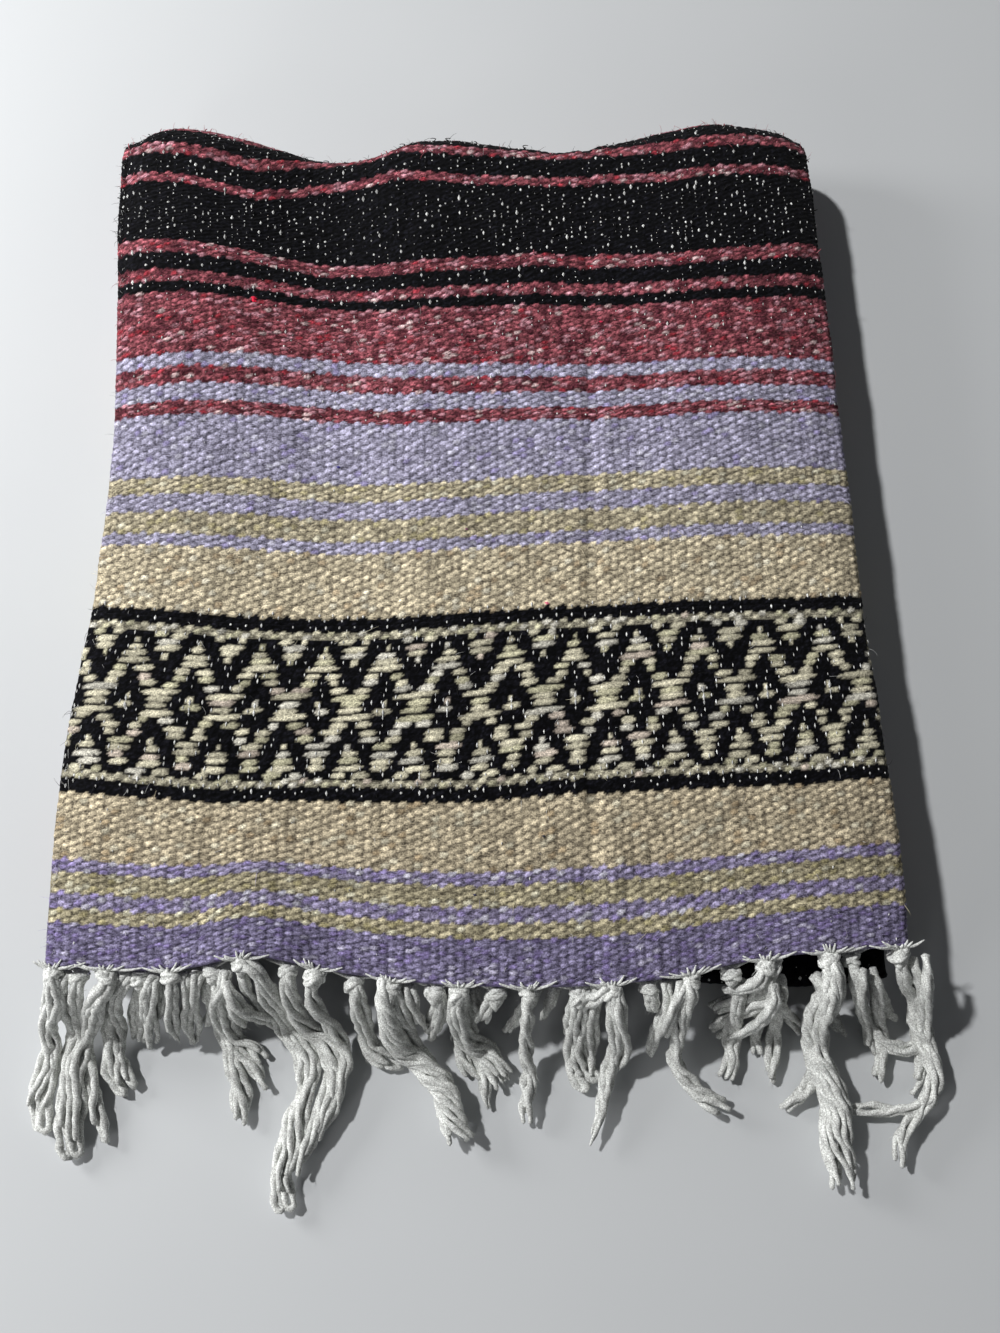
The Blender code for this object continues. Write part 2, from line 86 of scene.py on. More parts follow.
class Wire:  # one shader socket, so that sums on it read as they are written
    def __init__(self, tree, socket=None):
        self.tree = tree
        self.socket = socket

    def add(self, kind, settings=None, sockets=None, out=0):
        node = self.tree.nodes.new("ShaderNode" + kind)
        for name, value in (settings or {}).items():
            setattr(node, name, value)
        for name, value in (sockets or {}).items():
            if isinstance(value, Wire):
                value.into(node.inputs[name])
            else:
                node.inputs[name].default_value = value
        return Wire(self.tree, node.outputs[out])

    def into(self, socket):
        self.tree.links.new(self.socket, socket)

    def maths(self, operation, first, second):
        return self.add("Math", {"operation": operation}, {0: first, 1: second})

    def __add__(self, other):
        return self.maths("ADD", self, other)

    def __sub__(self, other):
        return self.maths("SUBTRACT", self, other)

    def __rsub__(self, other):
        return self.maths("SUBTRACT", other, self)

    def __mul__(self, other):
        return self.maths("MULTIPLY", self, other)

    def __pow__(self, other):
        return self.maths("POWER", self, other)

    def __rpow__(self, other):
        return self.maths("POWER", other, self)

    __radd__ = __add__
    __rmul__ = __mul__

    def clamped(self):
        return self.add("Clamp", None, {"Value": self})

    def tinted(self, share, low, high):  # this colour between a darker and a lighter one of itself
        grey = self.mixed(share, low, high)
        return self.mixed(1.0, self, grey, "MULTIPLY")

    def mixed(self, share, first, second, how="MIX"):
        ways = {"data_type": "RGBA", "blend_type": how}
        return self.add("Mix", ways, {"Factor": share, 6: first, 7: second}, 2)


def newMaterial(name, fixed):
    made = bpy.data.materials.new(name)
    made.use_nodes = True
    sockets = made.node_tree.nodes["Principled BSDF"].inputs
    for socket, value in fixed.items():
        sockets[socket].default_value = value
    return made, Wire(made.node_tree), sockets


floorLook = {
    "low": (0.5828, 0.59784, 0.6118, 1),
    "high": (0.62, 0.636, 0.644, 1),
    "mottle": {"Scale": 5.0, "Detail": 3.0},
    "fixed": {"Roughness": 0.85, "Specular IOR Level": 0.2},
    "size": 6.0,
    "drop": 0.0006,
}
floorMaterial, wire, shader = newMaterial("paleFloor", floorLook["fixed"])
mottle = wire.add("TexNoise", None, {"Vector": wire.add("TexCoord", None, None, 3), **floorLook["mottle"]})
wire.mixed(mottle, floorLook["low"], floorLook["high"]).into(shader["Base Color"])
bpy.ops.mesh.primitive_plane_add(size=floorLook["size"], location=(0, 0, -floorLook["drop"]))
floor = bpy.context.object
floor.name = "floor"
floor.data.materials.append(floorMaterial)
print("studio ready")

# the folded form, the same as the solids'

blanket = {
    "wall": 0.003,
    "gap": 0.0003,
    "stack": 0.045,
    "sideFold": 0.005625,  # outer radius of the fat fold down the right side
    "middleFold": 0.01125,
    "seam": -0.120,  # where the outer sheet meets the middle fold underneath
    "tuck": 0.024,
    "ends": 100,  # warp ribs across the face
    "endPitch": 0.0039,
    "firstDiamond": 7,  # the rib at the first diamond's centre
    "width": 0.41,  # of the outer sheet with its turn, flat
    "innerWidth": 0.395,
}

# all these in mm: where the lines across and the two sides run, and the swells and creases of the upper sheet
across = {
    "x": (-206, -180, -140, -108, -72, -38, -4, 41, 77, 123, 155, 195),
    "hem": (-182, -182.8, -183.3, -177.6, -184.1, -188.5, -190.6, -190.6, -187.6, -178.9, -175.5, -173),
    "middleFold": (-179, -179.5, -180, -180, -180, -180.5, -181.5, -185, -189, -192.5, -192.5, -188),
    "back": (260, 263.3, 259, 253.5, 253, 259.5, 258, 254.8, 259.5, 266.2, 265.5, 260),
}
sides = {
    "y": (-190, -165, -130, -92, -53, -12, 26, 59, 106, 148, 232, 290),
    "left": (-201.5, -203.2, -204.8, -205, -202.8, -198.5, -197, -196.5, -198.5, -202.3, -210.4, -212.5),
    "right": (193, 194, 194.7, 193, 190.8, 188.5, 188, 187.5, 186.5, 186, 183.8, 181.5),
}
ridges = {  # x0, y0, x1, y1, half width, rise at each end
    "leftSwell": (-160, -120, -178, 290, 56, 1.5, 5.8),
    "leftTrough": (-72, -100, -92, 290, 46, -1.2, -6.2),
    "middleSwell": (-20, 0, -30, 290, 44, 0.4, 1.8),
    "middleTrough": (45, 120, 40, 290, 26, -0.4, -1.8),
    "rightSwell": (105, -80, 130, 290, 62, 1.2, 5.6),
    "hemWave": (-110, -220, -118, -120, 40, 6.6, 0.4),
    "hemDip": (-66, -220, -72, -130, 32, -2.6, -0.6),
    "rightHemLift": (150, -220, 146, -130, 40, 2.8, 0.4),
    "leftDroop": (-212, -200, -220, 290, 26, -3, -5.2),
    "rightDroop": (198, -200, 188, 290, 24, -2.6, -4.8),
}
creases = {  # shallow fold lines that the cloth keeps, on the upper sheet alone
    "rightCrease": (48, -190, 56, 275, 6.5, -0.9, -1.2),
    "rightCreaseLip": (56, -190, 64, 275, 8, 0.6, 0.7),
    "leftCrease": (-50, -150, -46, 240, 6, -0.4, -0.7),
    "innerFoldLine": (128, -190, 124, 120, 7, -0.4, -0.2),
    "hemPucker": (-138, -195, -126, -120, 10, -1.2, -0.2),
    "rightPucker": (92, -195, 98, -140, 11, -0.8, -0.1),
}


def eased(share):
    return share * share * (3 - 2 * share)


def smoothAlong(xs, ys, at):
    xs, ys = np.array(xs) / 1000, np.array(ys) / 1000
    slopes = np.gradient(ys, xs)
    at = np.clip(at, xs[0], xs[-1])
    i = np.clip(np.searchsorted(xs, at, side="right") - 1, 0, len(xs) - 2)
    span = xs[i + 1] - xs[i]
    t = (at - xs[i]) / span
    bends = t * (1 - t) ** 2 * span * slopes[i] + t * t * (t - 1) * span * slopes[i + 1]
    return ys[i] * (1 - eased(t)) + ys[i + 1] * eased(t) + bends


def lineAcross(name, x):
    return smoothAlong(across["x"], across[name], x)


def sideAt(name, y):
    return smoothAlong(sides["y"], sides[name], y)


def threadAt(share, y):
    low = sideAt("left", y)
    return low + (sideAt("right", y) - blanket["sideFold"] - low) * share


def lineMet(share, name):  # y where a line across meets a thread
    y = np.zeros_like(share)
    for _ in range(5):
        y = lineAcross(name, threadAt(share, y))
    return y


def raised(table, x, y):
    total = 0.0
    for x0, y0, x1, y1, halfWidth, rise0, rise1 in np.array(list(table.values())) / 1000:
        alongX, alongY = x1 - x0, y1 - y0
        share = np.clip(((x - x0) * alongX + (y - y0) * alongY) / (alongX**2 + alongY**2), 0, 1)
        off = np.hypot(x - x0 - share * alongX, y - y0 - share * alongY)
        total = total + (rise0 + (rise1 - rise0) * share) * np.maximum(0, 1 - (off / halfWidth) ** 2) ** 2
    return total


def topHeight(x, y):
    return blanket["stack"] + raised(ridges, x, y)


# the stripes, from the hem to the middle of the blanket and on, each with its width in mm and its rows

hemSide = [
    ("purple", 18.7, 8), ("khaki", 6.5, 2), ("violet", 6.8, 2), ("khaki", 9.5, 3), ("violet", 5.5, 2),
    ("beige", 31.3, 9), ("black", 7, 2),
]
figure = [("figure", 78.9, 22)]
towardsMiddle = [
    ("black", 7, 2), ("sand", 34.4, 9), ("lilac", 6.3, 2), ("straw", 12.2, 3), ("lilac", 9.8, 3),
    ("straw", 9.5, 3), ("lilac", 34, 9), ("maroon", 7.5, 3), ("lilac", 9.8, 3), ("maroon", 9.6, 3),
    ("lilac", 7.8, 2), ("maroon", 35.6, 12), ("black", 6.5, 2), ("maroon", 7, 2), ("black", 10.2, 3),
    ("maroon", 7.8, 3), ("black", 47, 16),
]
mirrored = [("maroon", 6, 2), ("black", 13.5, 4), ("maroon", 7.5, 2), ("black", 13, 4), ("maroon", 27.1, 10)]
mirrored += towardsMiddle[10::-1]  # the same lilac, straw and sand stripes, in the other order
stripes = hemSide + figure + towardsMiddle + mirrored + figure + towardsMiddle + mirrored
rowDyes = [dye for dye, width, rows in stripes for _ in range(rows)]
rowLengths = np.cumsum([0.0] + [width / rows / 1000 for dye, width, rows in stripes for _ in range(rows)])
rowNumbers = np.arange(len(rowLengths))

# y in mm of six of the rows' starts over the top, from the left edge to the right one
wander = {
    27: (-99, -103, -105.8, -104, -104.8, -105, -101, -99.5, -98, -96.5, -93),
    51: (-14, -17, -20, -20.5, -20, -17, -14.5, -13, -11.3, -10, -8),
    72: (57, 59, 59.5, 57, 56, 58, 61.3, 61.8, 63.5, 65, 65.5),
    92: (127, 131.5, 133, 131, 126, 126, 126.5, 126, 127.3, 129, 130),
    114: (202.5, 201, 196, 191, 190, 192, 196.3, 194.5, 193.5, 197, 203),
    130: (241.5, 238, 230, 240, 245, 241, 241, 242, 241, 245, 246.5),
}
seamRow = 262  # the row at the seam underneath
rowsInFigure = (29, 49)


def rowAt(length):
    return np.interp(length, rowLengths, rowNumbers)


def lengthAt(row):
    return np.interp(row, rowNumbers, rowLengths)


def clothSurface(rows, share, aside, inset, depth):  # from the hem round to the seam, by row and column
    def high(x, y):
        return topHeight(x, y) + (1 - depth) * raised(creases, x, y)

    knots = [lineMet(share, "hem")]
    knots += [np.interp(share, np.linspace(0, 1, len(line)), line) / 1000 for line in wander.values()]
    knotLengths = lengthAt([0, *wander])
    lengths = lengthAt(rows)[:, None]
    y = knots[0] + np.zeros_like(lengths)
    for k in range(len(wander)):
        gone = np.clip((lengths - knotLengths[k]) / (knotLengths[k + 1] - knotLengths[k]), 0, 1)
        y = y + gone * (knots[k + 1] - knots[k])
    y = y + np.maximum(0, lengths - knotLengths[-1])
    turn = lineMet(share, "back")
    turnHigh = high(threadAt(share, turn), turn)
    radius = turnHigh / 2 * (1 - depth) - inset
    lengthBack = knotLengths[-1] + turn - knots[-1]
    past = lengths - lengthBack
    turned = rowAt(lengthBack + pi * radius)
    under = (rows[:, None] - turned) / (seamRow - turned)
    angle = np.clip(past / radius, 0, pi)
    flatY = np.where(past <= 0, y, np.where(under > 0, turn + (blanket["seam"] - turn) * under, turn))
    x = threadAt(share, flatY)
    z = high(x, flatY)
    z = np.where(past <= 0, z * (1 - depth / 2) - inset, inset + depth * z / 2)
    bent = (past > 0) & (under <= 0)
    flatY = np.where(bent, turn + radius * np.sin(angle), flatY)
    z = np.where(bent, turnHigh / 2 + radius * np.cos(angle), z)
    return np.stack([x + aside, flatY, z], axis=-1)


def unit(vectors):
    return vectors / np.maximum(np.linalg.norm(vectors, axis=-1, keepdims=True), 1e-12)


def offFloor(points, low):
    points[..., 2] = np.maximum(points[..., 2], low)
    return points


def hashed(first, second, salt):  # the same even spread of numbers from 0 to 1 on every run
    mixed = (np.asarray(first, np.int64) + 512) * 73856093 ^ (np.asarray(second, np.int64) + 512) * 19349663
    mixed = (mixed ^ salt * 83492791) & 0xFFFFFFFF
    mixed = (mixed ^ (mixed >> 13)) * 1274126177 & 0xFFFFFFFF
    mixed = (mixed ^ (mixed >> 15)) * 1103515245 & 0xFFFFFFFF
    return ((mixed ^ (mixed >> 16)) & 0xFFFFFF) / 0x1000000


# the figured band, half a repeat of each of its rows from a diamond's centre outwards, from the hem side up
chart = (
    "###----#", "--###---", "--###---", "---###--", "---####-",
    "#----###", "#----###", "###----#", "###-----", "--###---",
    "-####---", "###-----", "###----#", "##---###", "#----###",
    "----####", "---####-", "--###---", "-####---", "####---#",
)
floats = {
    "longestBlack": 3,  # half ends that a black float spans before it is tied down
    "height": (0.50, 0.51),  # black, beige
    "relief": (0.80, 1.0),
    "slant": 0.10,
    "jitter": 0.84,
    "sway": 0.26,
    "overlap": 0.02,
    "shortest": 0.25,
    "blunt": 2.4,  # how square its ends are
}


def figureFloats():
    halfEnds, repeat = 2 * (blanket["ends"] + 8), 2 * len(chart[0])
    offset = (np.arange(halfEnds) - 2 * blanket["firstDiamond"]) % repeat
    inks = np.array([list(row) for row in chart])[:, np.minimum(offset, repeat - 1 - offset)] == "#"
    starts, stops = np.zeros(inks.shape, int), np.zeros(inks.shape, int)
    for r, ink in enumerate(inks):
        changes = [0, *(np.flatnonzero(ink[1:] != ink[:-1]) + 1), halfEnds]
        for first, last in zip(changes, changes[1:]):
            parts = math.ceil((last - first) / floats["longestBlack"]) if ink[first] else 1
            marks = [first + round((last - first) * part / parts) for part in range(parts + 1)]
            for low, high in zip(marks, marks[1:]):
                starts[r, low:high], stops[r, low:high] = low, high
    return starts, stops, inks


floatStarts, floatStops, floatInks = figureFloats()

dyes = {  # colour, how far it is heathered, then flecks: the share of the beads up to here, and their colour
    "purple": ((0.335, 0.30, 0.475), 0.26, (0.10, (0.52, 0.49, 0.64)), (0.32, (0.27, 0.22, 0.43))),
    "violet": ((0.46, 0.41, 0.62), 0.26, (0.12, (0.62, 0.60, 0.70)), (0.34, (0.36, 0.30, 0.56))),
    "khaki": ((0.64, 0.57, 0.38), 0.24, (0.10, (0.74, 0.70, 0.52)), (0.22, (0.52, 0.46, 0.26))),
    "straw": ((0.75, 0.665, 0.465), 0.24, (0.10, (0.82, 0.77, 0.58)), (0.22, (0.62, 0.55, 0.33))),
    "beige": ((0.78, 0.67, 0.47), 0.18, (0.10, (0.82, 0.75, 0.56)), (0.16, (0.56, 0.44, 0.28))),
    "sand": ((0.90, 0.785, 0.555), 0.18, (0.10, (0.92, 0.85, 0.66)), (0.16, (0.66, 0.53, 0.35))),
    "cream": ((0.69, 0.645, 0.48), 0.26, (0.16, (0.80, 0.77, 0.66)), (0.34, (0.64, 0.61, 0.42)),
              (0.42, (0.70, 0.60, 0.50))),
    "black": ((0.006, 0.006, 0.009), 0.0),
    "lilac": ((0.62, 0.59, 0.78), 0.18, (0.08, (0.46, 0.41, 0.68)), (0.20, (0.68, 0.66, 0.80))),
    "maroon": ((0.43, 0.12, 0.146), 0.70, (0.05, (0.70, 0.50, 0.50)), (0.26, (0.58, 0.27, 0.32)),
               (0.31, (0.42, 0.05, 0.07)), (0.54, (0.15, 0.035, 0.05))),
}
dyeNames = list(dyes)
black, cream = dyeNames.index("black"), dyeNames.index("cream")
dyeTable = np.array([its[0] for its in dyes.values()])
heatherShares = np.array([its[1] for its in dyes.values()])
rowDyeNumbers = np.array([cream if dye == "figure" else dyeNames.index(dye) for dye in rowDyes])
bead = {  # the first value is for the hem's rows, the second for the rest
    "hemRows": 8,
    "halfWidth": (0.52, 0.57),
    "halfHeight": (0.46, 0.41),
    "slant": (0.10, 0.17),
    "jitter": (0.36, 0.30),  # across and along
    "low": 0.68,
}
cloth = {
    "relief": 0.00072,
    "base": 0.62,  # share of the relief that lies under the cloth's mean face
    "pucker": 0.00035,
    "rough": 0.26,
    "backStep": 16,  # points of the face to one of the smooth back
    "rim": 0.28,  # how far the edge bulges, as a share of the wall
}
shades = {"middle": 0.98, "beads": 0.50, "rows": 0.14, "blackLow": 0.20, "blackHigh": 2.6}


def phaseOf(i):  # how far along its row each warp end's bead lies, so that they alternate
    return np.where(i % 2 == 0, 0.25, 0.75)


def weave(rows, ends):
    u, v = ends[None, :], rows[:, None]
    crest = np.zeros((len(rows), len(ends)))
    cellU, cellV, dye = (np.zeros(crest.shape, int) for _ in range(3))
    between = rowDyeNumbers[np.clip(np.floor(rows).astype(int), 0, len(rowDyeNumbers) - 1)]
    between[(rows >= rowsInFigure[0]) & (rows < rowsInFigure[1])] = black
    dye += between[:, None]

    def keep(dome, *found):
        better = dome > crest
        crest[better] = dome[better]
        for into, new in zip((cellU, cellV, dye), found):
            into[better] = np.broadcast_to(new, crest.shape)[better]

    for aside in (-1, 0, 1):
        i = np.floor(u).astype(int) + aside
        for along in (-1, 0, 1):
            j = np.floor(v - phaseOf(i) + 0.5).astype(int) + along
            plain = (j < rowsInFigure[0]) | (j >= rowsInFigure[1])
            atHem = j < bead["hemRows"]
            wide, tall, slant = (np.where(atHem, *bead[key]) for key in ("halfWidth", "halfHeight", "slant"))
            offU = u - i - 0.5 - (hashed(i, j, 1) - 0.5) * bead["jitter"][0]
            offV = v - j - phaseOf(i) - (hashed(i, j, 2) - 0.5) * bead["jitter"][1] - slant * offU
            dome = np.sqrt(np.maximum(0, 1 - (offU / wide) ** 2 - (offV / tall) ** 2))
            dome = dome * (bead["low"] + (1 - bead["low"]) * hashed(i, j, 3)) * plain
            keep(dome, i, j, rowDyeNumbers[np.clip(j, 0, len(rowDyeNumbers) - 1)])

    for along in (-1, 0, 1):
        j = np.floor(v).astype(int) + along
        inside = (j >= rowsInFigure[0]) & (j < rowsInFigure[1])
        r = np.clip(j - rowsInFigure[0], 0, len(floatStarts) - 1)
        for aside in (-3, 0, 3):
            half = np.clip(np.floor(2 * u).astype(int) + aside, 0, floatStarts.shape[1] - 1)
            start, stop, ink = floatStarts[r, half], floatStops[r, half], floatInks[r, half]
            low = start / 2 + (hashed(start, j, 4) - 0.5) * floats["jitter"] - floats["overlap"]
            high = stop / 2 + (hashed(stop, j, 4) - 0.5) * floats["jitter"] + floats["overlap"]
            offU = u - (low + high) / 2
            wide = np.maximum(floats["shortest"], (high - low) / 2)
            tall = np.where(ink, *floats["height"]) * (0.86 + 0.2 * hashed(start, j, 6))
            offV = v - j - 0.5 - (hashed(start, j, 5) - 0.5) * floats["sway"] - floats["slant"] * offU
            dome = np.sqrt(np.maximum(0, 1 - np.abs(offU / wide) ** floats["blunt"] - (offV / tall) ** 2))
            dome = dome * (0.80 + 0.20 * hashed(start, j, 7)) * np.where(ink, *floats["relief"]) * inside
            keep(dome, start, j, np.where(ink, black, cream))
    crest *= 1 - cloth["rough"] * hashed(np.arange(crest.size).reshape(crest.shape), 0, 12)
    return crest, cellU, cellV, dye


def dyed(crest, cellU, cellV, dye, layer):
    color = dyeTable[dye].copy()
    lot = hashed(cellU, cellV, 7 + layer)
    for number, (_, _, *flecks) in enumerate(dyes.values()):
        its = (dye == number) & (crest > 0)
        for upTo, fleck in reversed(flecks):
            color[its & (lot < upTo)] = fleck
    shade = shades["middle"] + shades["beads"] * (hashed(cellU, cellV, 8 + layer) - 0.5)
    shade += shades["rows"] * (hashed(0, cellV, 9) - 0.5)
    lots = hashed(np.arange(crest.size).reshape(crest.shape), 1, 13)
    heathered = 1 + heatherShares[dye] * 2 * (lots - 0.5)
    heathered = np.where(dye == black, shades["blackLow"] + shades["blackHigh"] * lots**3, heathered)
    return color * (shade * heathered)[..., None]


def pucker(x, y):
    fine = np.sin(263 * x - 71 * y + 1.3) * np.sin(181 * y + 2.1)
    return np.sin(151 * x + 37 * y) * np.sin(97 * y - 31 * x) + 0.6 * fine


# the two crevice tints are painted shade down between the beads and between the plies, the crown tint is a
# painted highlight on their tops; grain and patch tints are random tone
tints = {
    "weftCreviceShade": (0.12, 0.115, 0.12, 1),
    "yarnCreviceShade": (0.78, 0.78, 0.78, 1),
    "crownHighlight": (1.24, 1.24, 1.24, 1),
    "grainLow": (0.62, 0.61, 0.61, 1),
    "grainHigh": (1.36, 1.37, 1.37, 1),
    "patchLow": (0.93, 0.93, 0.93, 1),
    "patchHigh": (1.05, 1.05, 1.05, 1),
}
wool = {
    "fixed": {"Roughness": 0.95, "Specular IOR Level": 0.06, "Sheen Weight": 0.03, "Sheen Roughness": 0.6},
    "fibre": {"Scale": 1.0, "Detail": 3.0, "Roughness": 0.6},
    "fibreScale": (420.0, 1500.0, 1500.0),
    "tuft": {"Scale": 900.0, "Detail": 2.0},
    "grain": {"Scale": 1500.0, "Detail": 1.0},
    "patch": {"Scale": 28.0, "Detail": 2.0},
    "bump": {"Strength": 0.6, "Distance": 0.0004},
    # how the crest paints shade in the crevices and a highlight on the crowns, and how far fibre, tuft and
    # grain noise vary the tone
    "creviceShadeAndGrain": {"power": 1.5, "crest": 0.80, "least": 0.17, "fibre": 1.05, "tuft": 0.70, "grain": 2.6},
}


def woolMaterial(name, creviceShade):
    made, wire, shader = newMaterial(name, wool["fixed"])
    dye = wire.add("Attribute", {"attribute_name": "dye"})
    crest = wire.add("Attribute", {"attribute_name": "crest"}, None, 2)
    spot = wire.add("TexCoord", None, None, 3)
    along = wire.add("Mapping", None, {"Vector": spot, "Scale": wool["fibreScale"]})
    fibre = wire.add("TexNoise", None, {"Vector": along, **wool["fibre"]})
    tuft, grain, patch = (
        wire.add("TexNoise", None, {"Vector": spot, **wool[key]}) for key in ("tuft", "grain", "patch")
    )
    creviceShadeAndGrain = wool["creviceShadeAndGrain"]
    # painted shade and highlight: darker down in the crevices, lighter on the crowns, by the crest attribute,
    # mixed with random fibre and tuft tone
    creviceShadeAndFibre = crest ** creviceShadeAndGrain["power"] * creviceShadeAndGrain["crest"] + creviceShadeAndGrain["least"]
    creviceShadeAndFibre = (creviceShadeAndFibre + (fibre - 0.5) * creviceShadeAndGrain["fibre"] + (tuft - 0.5) * creviceShadeAndGrain["tuft"]).clamped()
    color = dye.tinted(creviceShadeAndFibre, creviceShade, tints["crownHighlight"])
    color = color.tinted(patch, tints["patchLow"], tints["patchHigh"])
    sharper = ((grain - 0.5) * creviceShadeAndGrain["grain"] + 0.5).clamped()
    color = color.tinted(sharper, tints["grainLow"], tints["grainHigh"])
    color.into(shader["Base Color"])
    wire.add("Bump", None, {"Height": fibre + tuft * 0.5, **wool["bump"]}).into(shader["Normal"])
    return made


stripedWool = woolMaterial("stripedWool", tints["weftCreviceShade"])
cottonYarn = woolMaterial("cottonYarn", tints["yarnCreviceShade"])
strayFibre = woolMaterial("strayFibre", tints["yarnCreviceShade"])
print("weave, dyes and materials ready")


def newPiece(name, points, faces, colors, crests, uvs, material, nodes=(), smooth=True):
    mesh = bpy.data.meshes.new(name)
    mesh.from_pydata(points.tolist(), [], faces)
    dye = mesh.attributes.new("dye", "FLOAT_COLOR", "POINT")
    dye.data.foreach_set("color", np.column_stack([colors, np.ones(len(colors))]).ravel())
    # crest: how high each bead or ply stands, which the materials turn into painted crevice shade and crown
    # highlight
    mesh.attributes.new("crest", "FLOAT", "POINT").data.foreach_set("value", crests)
    mesh.uv_layers.new(name="OFBake").data.foreach_set("uv", uvs.ravel())
    mesh.polygons.foreach_set("use_smooth", np.full(len(faces), smooth))
    mesh.materials.append(material)
    made = placed(bpy.data.objects.new(name, mesh))
    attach(made, "root")
    if nodes:
        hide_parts(*nodes)
    print(f"{name}: {sum(len(face) - 2 for face in faces)} triangles")
    return made


quadCorners = np.array([(0, 0), (0, 1), (1, 1), (1, 0)])
woven = {}  # of each woven piece, for the flecks and the fuzz: lifted points, normals, rows, ends, dyes
flatMap = {
    "face": (0.998, 0.93),
    "rims": ((0.940, 0.950), (0.955, 0.965)),
    "back": (0.975, 0.02),
    "least": 0.002,
}


def wovenPiece(name, rows, ends, grid, layer, nodes):
    normals = unit(np.cross(np.gradient(grid, axis=1), np.gradient(grid, axis=0)))
    crest, cellU, cellV, dye = weave(rows, ends)
    color = dyed(crest, cellU, cellV, dye, layer)
    lift = (crest - cloth["base"]) * cloth["relief"] + cloth["pucker"] * pucker(grid[..., 0], grid[..., 1])
    lifted = offFloor(grid + normals * lift[..., None], 0)
    inner = grid - normals * blanket["wall"]

    # the back's points are all of those round the border, and one in so many of the rest
    down, along = crest.shape[0] - 1, crest.shape[1] - 1
    keepRows, keepColumns = (sorted({*range(0, last, cloth["backStep"]), last}) for last in (down, along))
    border = [(0, j) for j in range(along)] + [(i, along) for i in range(down)]
    border += [(down, j) for j in range(along, 0, -1)] + [(i, 0) for i in range(down, 0, -1)]
    onBorder = set(border)
    back = border + [(i, j) for i in keepRows for j in keepColumns if (i, j) not in onBorder]
    backNumbers = {spot: crest.size + k for k, spot in enumerate(back)}
    rimFrom = crest.size + len(back)
    spots = tuple(np.array(back + border).T)
    edge = tuple(np.array(border).T)
    nearby = np.clip(edge[0], 1, down - 1), np.clip(edge[1], 1, along - 1)
    rim = (lifted[edge] + inner[edge]) / 2 + unit(grid[edge] - grid[nearby]) * blanket["wall"] * cloth["rim"]
    points = np.concatenate([lifted.reshape(-1, 3), inner[spots][: len(back)], rim])

    index = np.arange(crest.size).reshape(crest.shape)
    quads = np.stack([index[:-1, :-1], index[:-1, 1:], index[1:, 1:], index[1:, :-1]], axis=-1)
    faces = quads.reshape(-1, 4).tolist()
    for k, spot in enumerate(border):
        after = (k + 1) % len(border)
        here, there = int(index[spot]), int(index[border[after]])
        faces.append((here, rimFrom + k, rimFrom + after, there))
        faces.append((rimFrom + k, backNumbers[spot], backNumbers[border[after]], rimFrom + after))
    for i0, i1 in zip(keepRows, keepRows[1:]):
        for j0, j1 in zip(keepColumns, keepColumns[1:]):
            ring = [(i0, j) for j in (range(j0, j1) if i0 == 0 else (j0,))]
            ring += [(i, j1) for i in (range(i0, i1) if j1 == along else (i0,))]
            ring += [(i1, j) for j in (range(j1, j0, -1) if i1 == down else (j1,))]
            ring += [(i, j0) for i in (range(i1, i0, -1) if j0 == 0 else (i1,))]
            faces.append([backNumbers[spot] for spot in reversed(ring)])

    # the face, the rim and the back each have their own part of the flat map
    (right, top), (low, high), least = flatMap["face"], flatMap["back"], flatMap["least"]
    faceUv = np.meshgrid(np.linspace(least, right, along + 1), np.linspace(least, top, down + 1))
    backUv = np.column_stack([spots[1] / (along + 1), low + high * spots[0] / (down + 1)])
    uvs = np.concatenate([np.stack(faceUv, axis=-1).reshape(-1, 2), backUv])[np.concatenate(faces)]
    marks = np.arange(len(border) + 1) / len(border)
    rimUv = [np.column_stack([marks[a : len(border) + a], np.full(len(border), strip[b])])
             for strip in flatMap["rims"] for a, b in quadCorners]
    uvs[4 * down * along : 4 * (down * along + 2 * len(border))] = np.stack(rimUv, axis=1).reshape(-1, 2)
    colors = np.concatenate([color.reshape(-1, 3), color[spots]])
    crests = np.concatenate([crest.ravel(), np.full(len(spots[0]), 0.5)])
    made = newPiece(name, points, faces, colors, crests, uvs, stripedWool, nodes)
    woven[name] = lifted, normals, rows, ends, dye


turnEnds = pi * blanket["sideFold"] / blanket["endPitch"]
outerPieces = {  # first and last row, points to a row, to an end and round the side fold, what it rests on
    "clothFront": (0, 51, 4, 4, 16, "inner_layers"),
    "clothMiddle": (51, 104, 4, 4, 16, "inner_layers"),
    "clothBack": (104, 150, 4, 4, 16, "inner_layers"),
    "clothUnder": (150, seamRow, 1, 1.6, 9, "floor"),
}
for name, (first, last, toRow, toEnd, toTurn, below) in outerPieces.items():
    rows = np.arange(first * toRow, last * toRow + 1) / toRow
    onFace = np.arange(0, blanket["ends"], 1 / toEnd)
    ends = np.concatenate([onFace, blanket["ends"] + np.linspace(0, turnEnds, toTurn)])
    share = np.clip(ends / blanket["ends"], 0, 1)
    turned = np.maximum(0, ends - blanket["ends"]) * blanket["endPitch"] / blanket["sideFold"]
    aside, inset = blanket["sideFold"] * np.sin(turned), blanket["sideFold"] * (1 - np.cos(turned))
    wovenPiece(name, rows, ends, clothSurface(rows, share, aside, inset, 0 * share), 0, ["outer_cloth"])

# the rolls of the folded layers down the two sides, from the outer sheet in to the middle of the stack

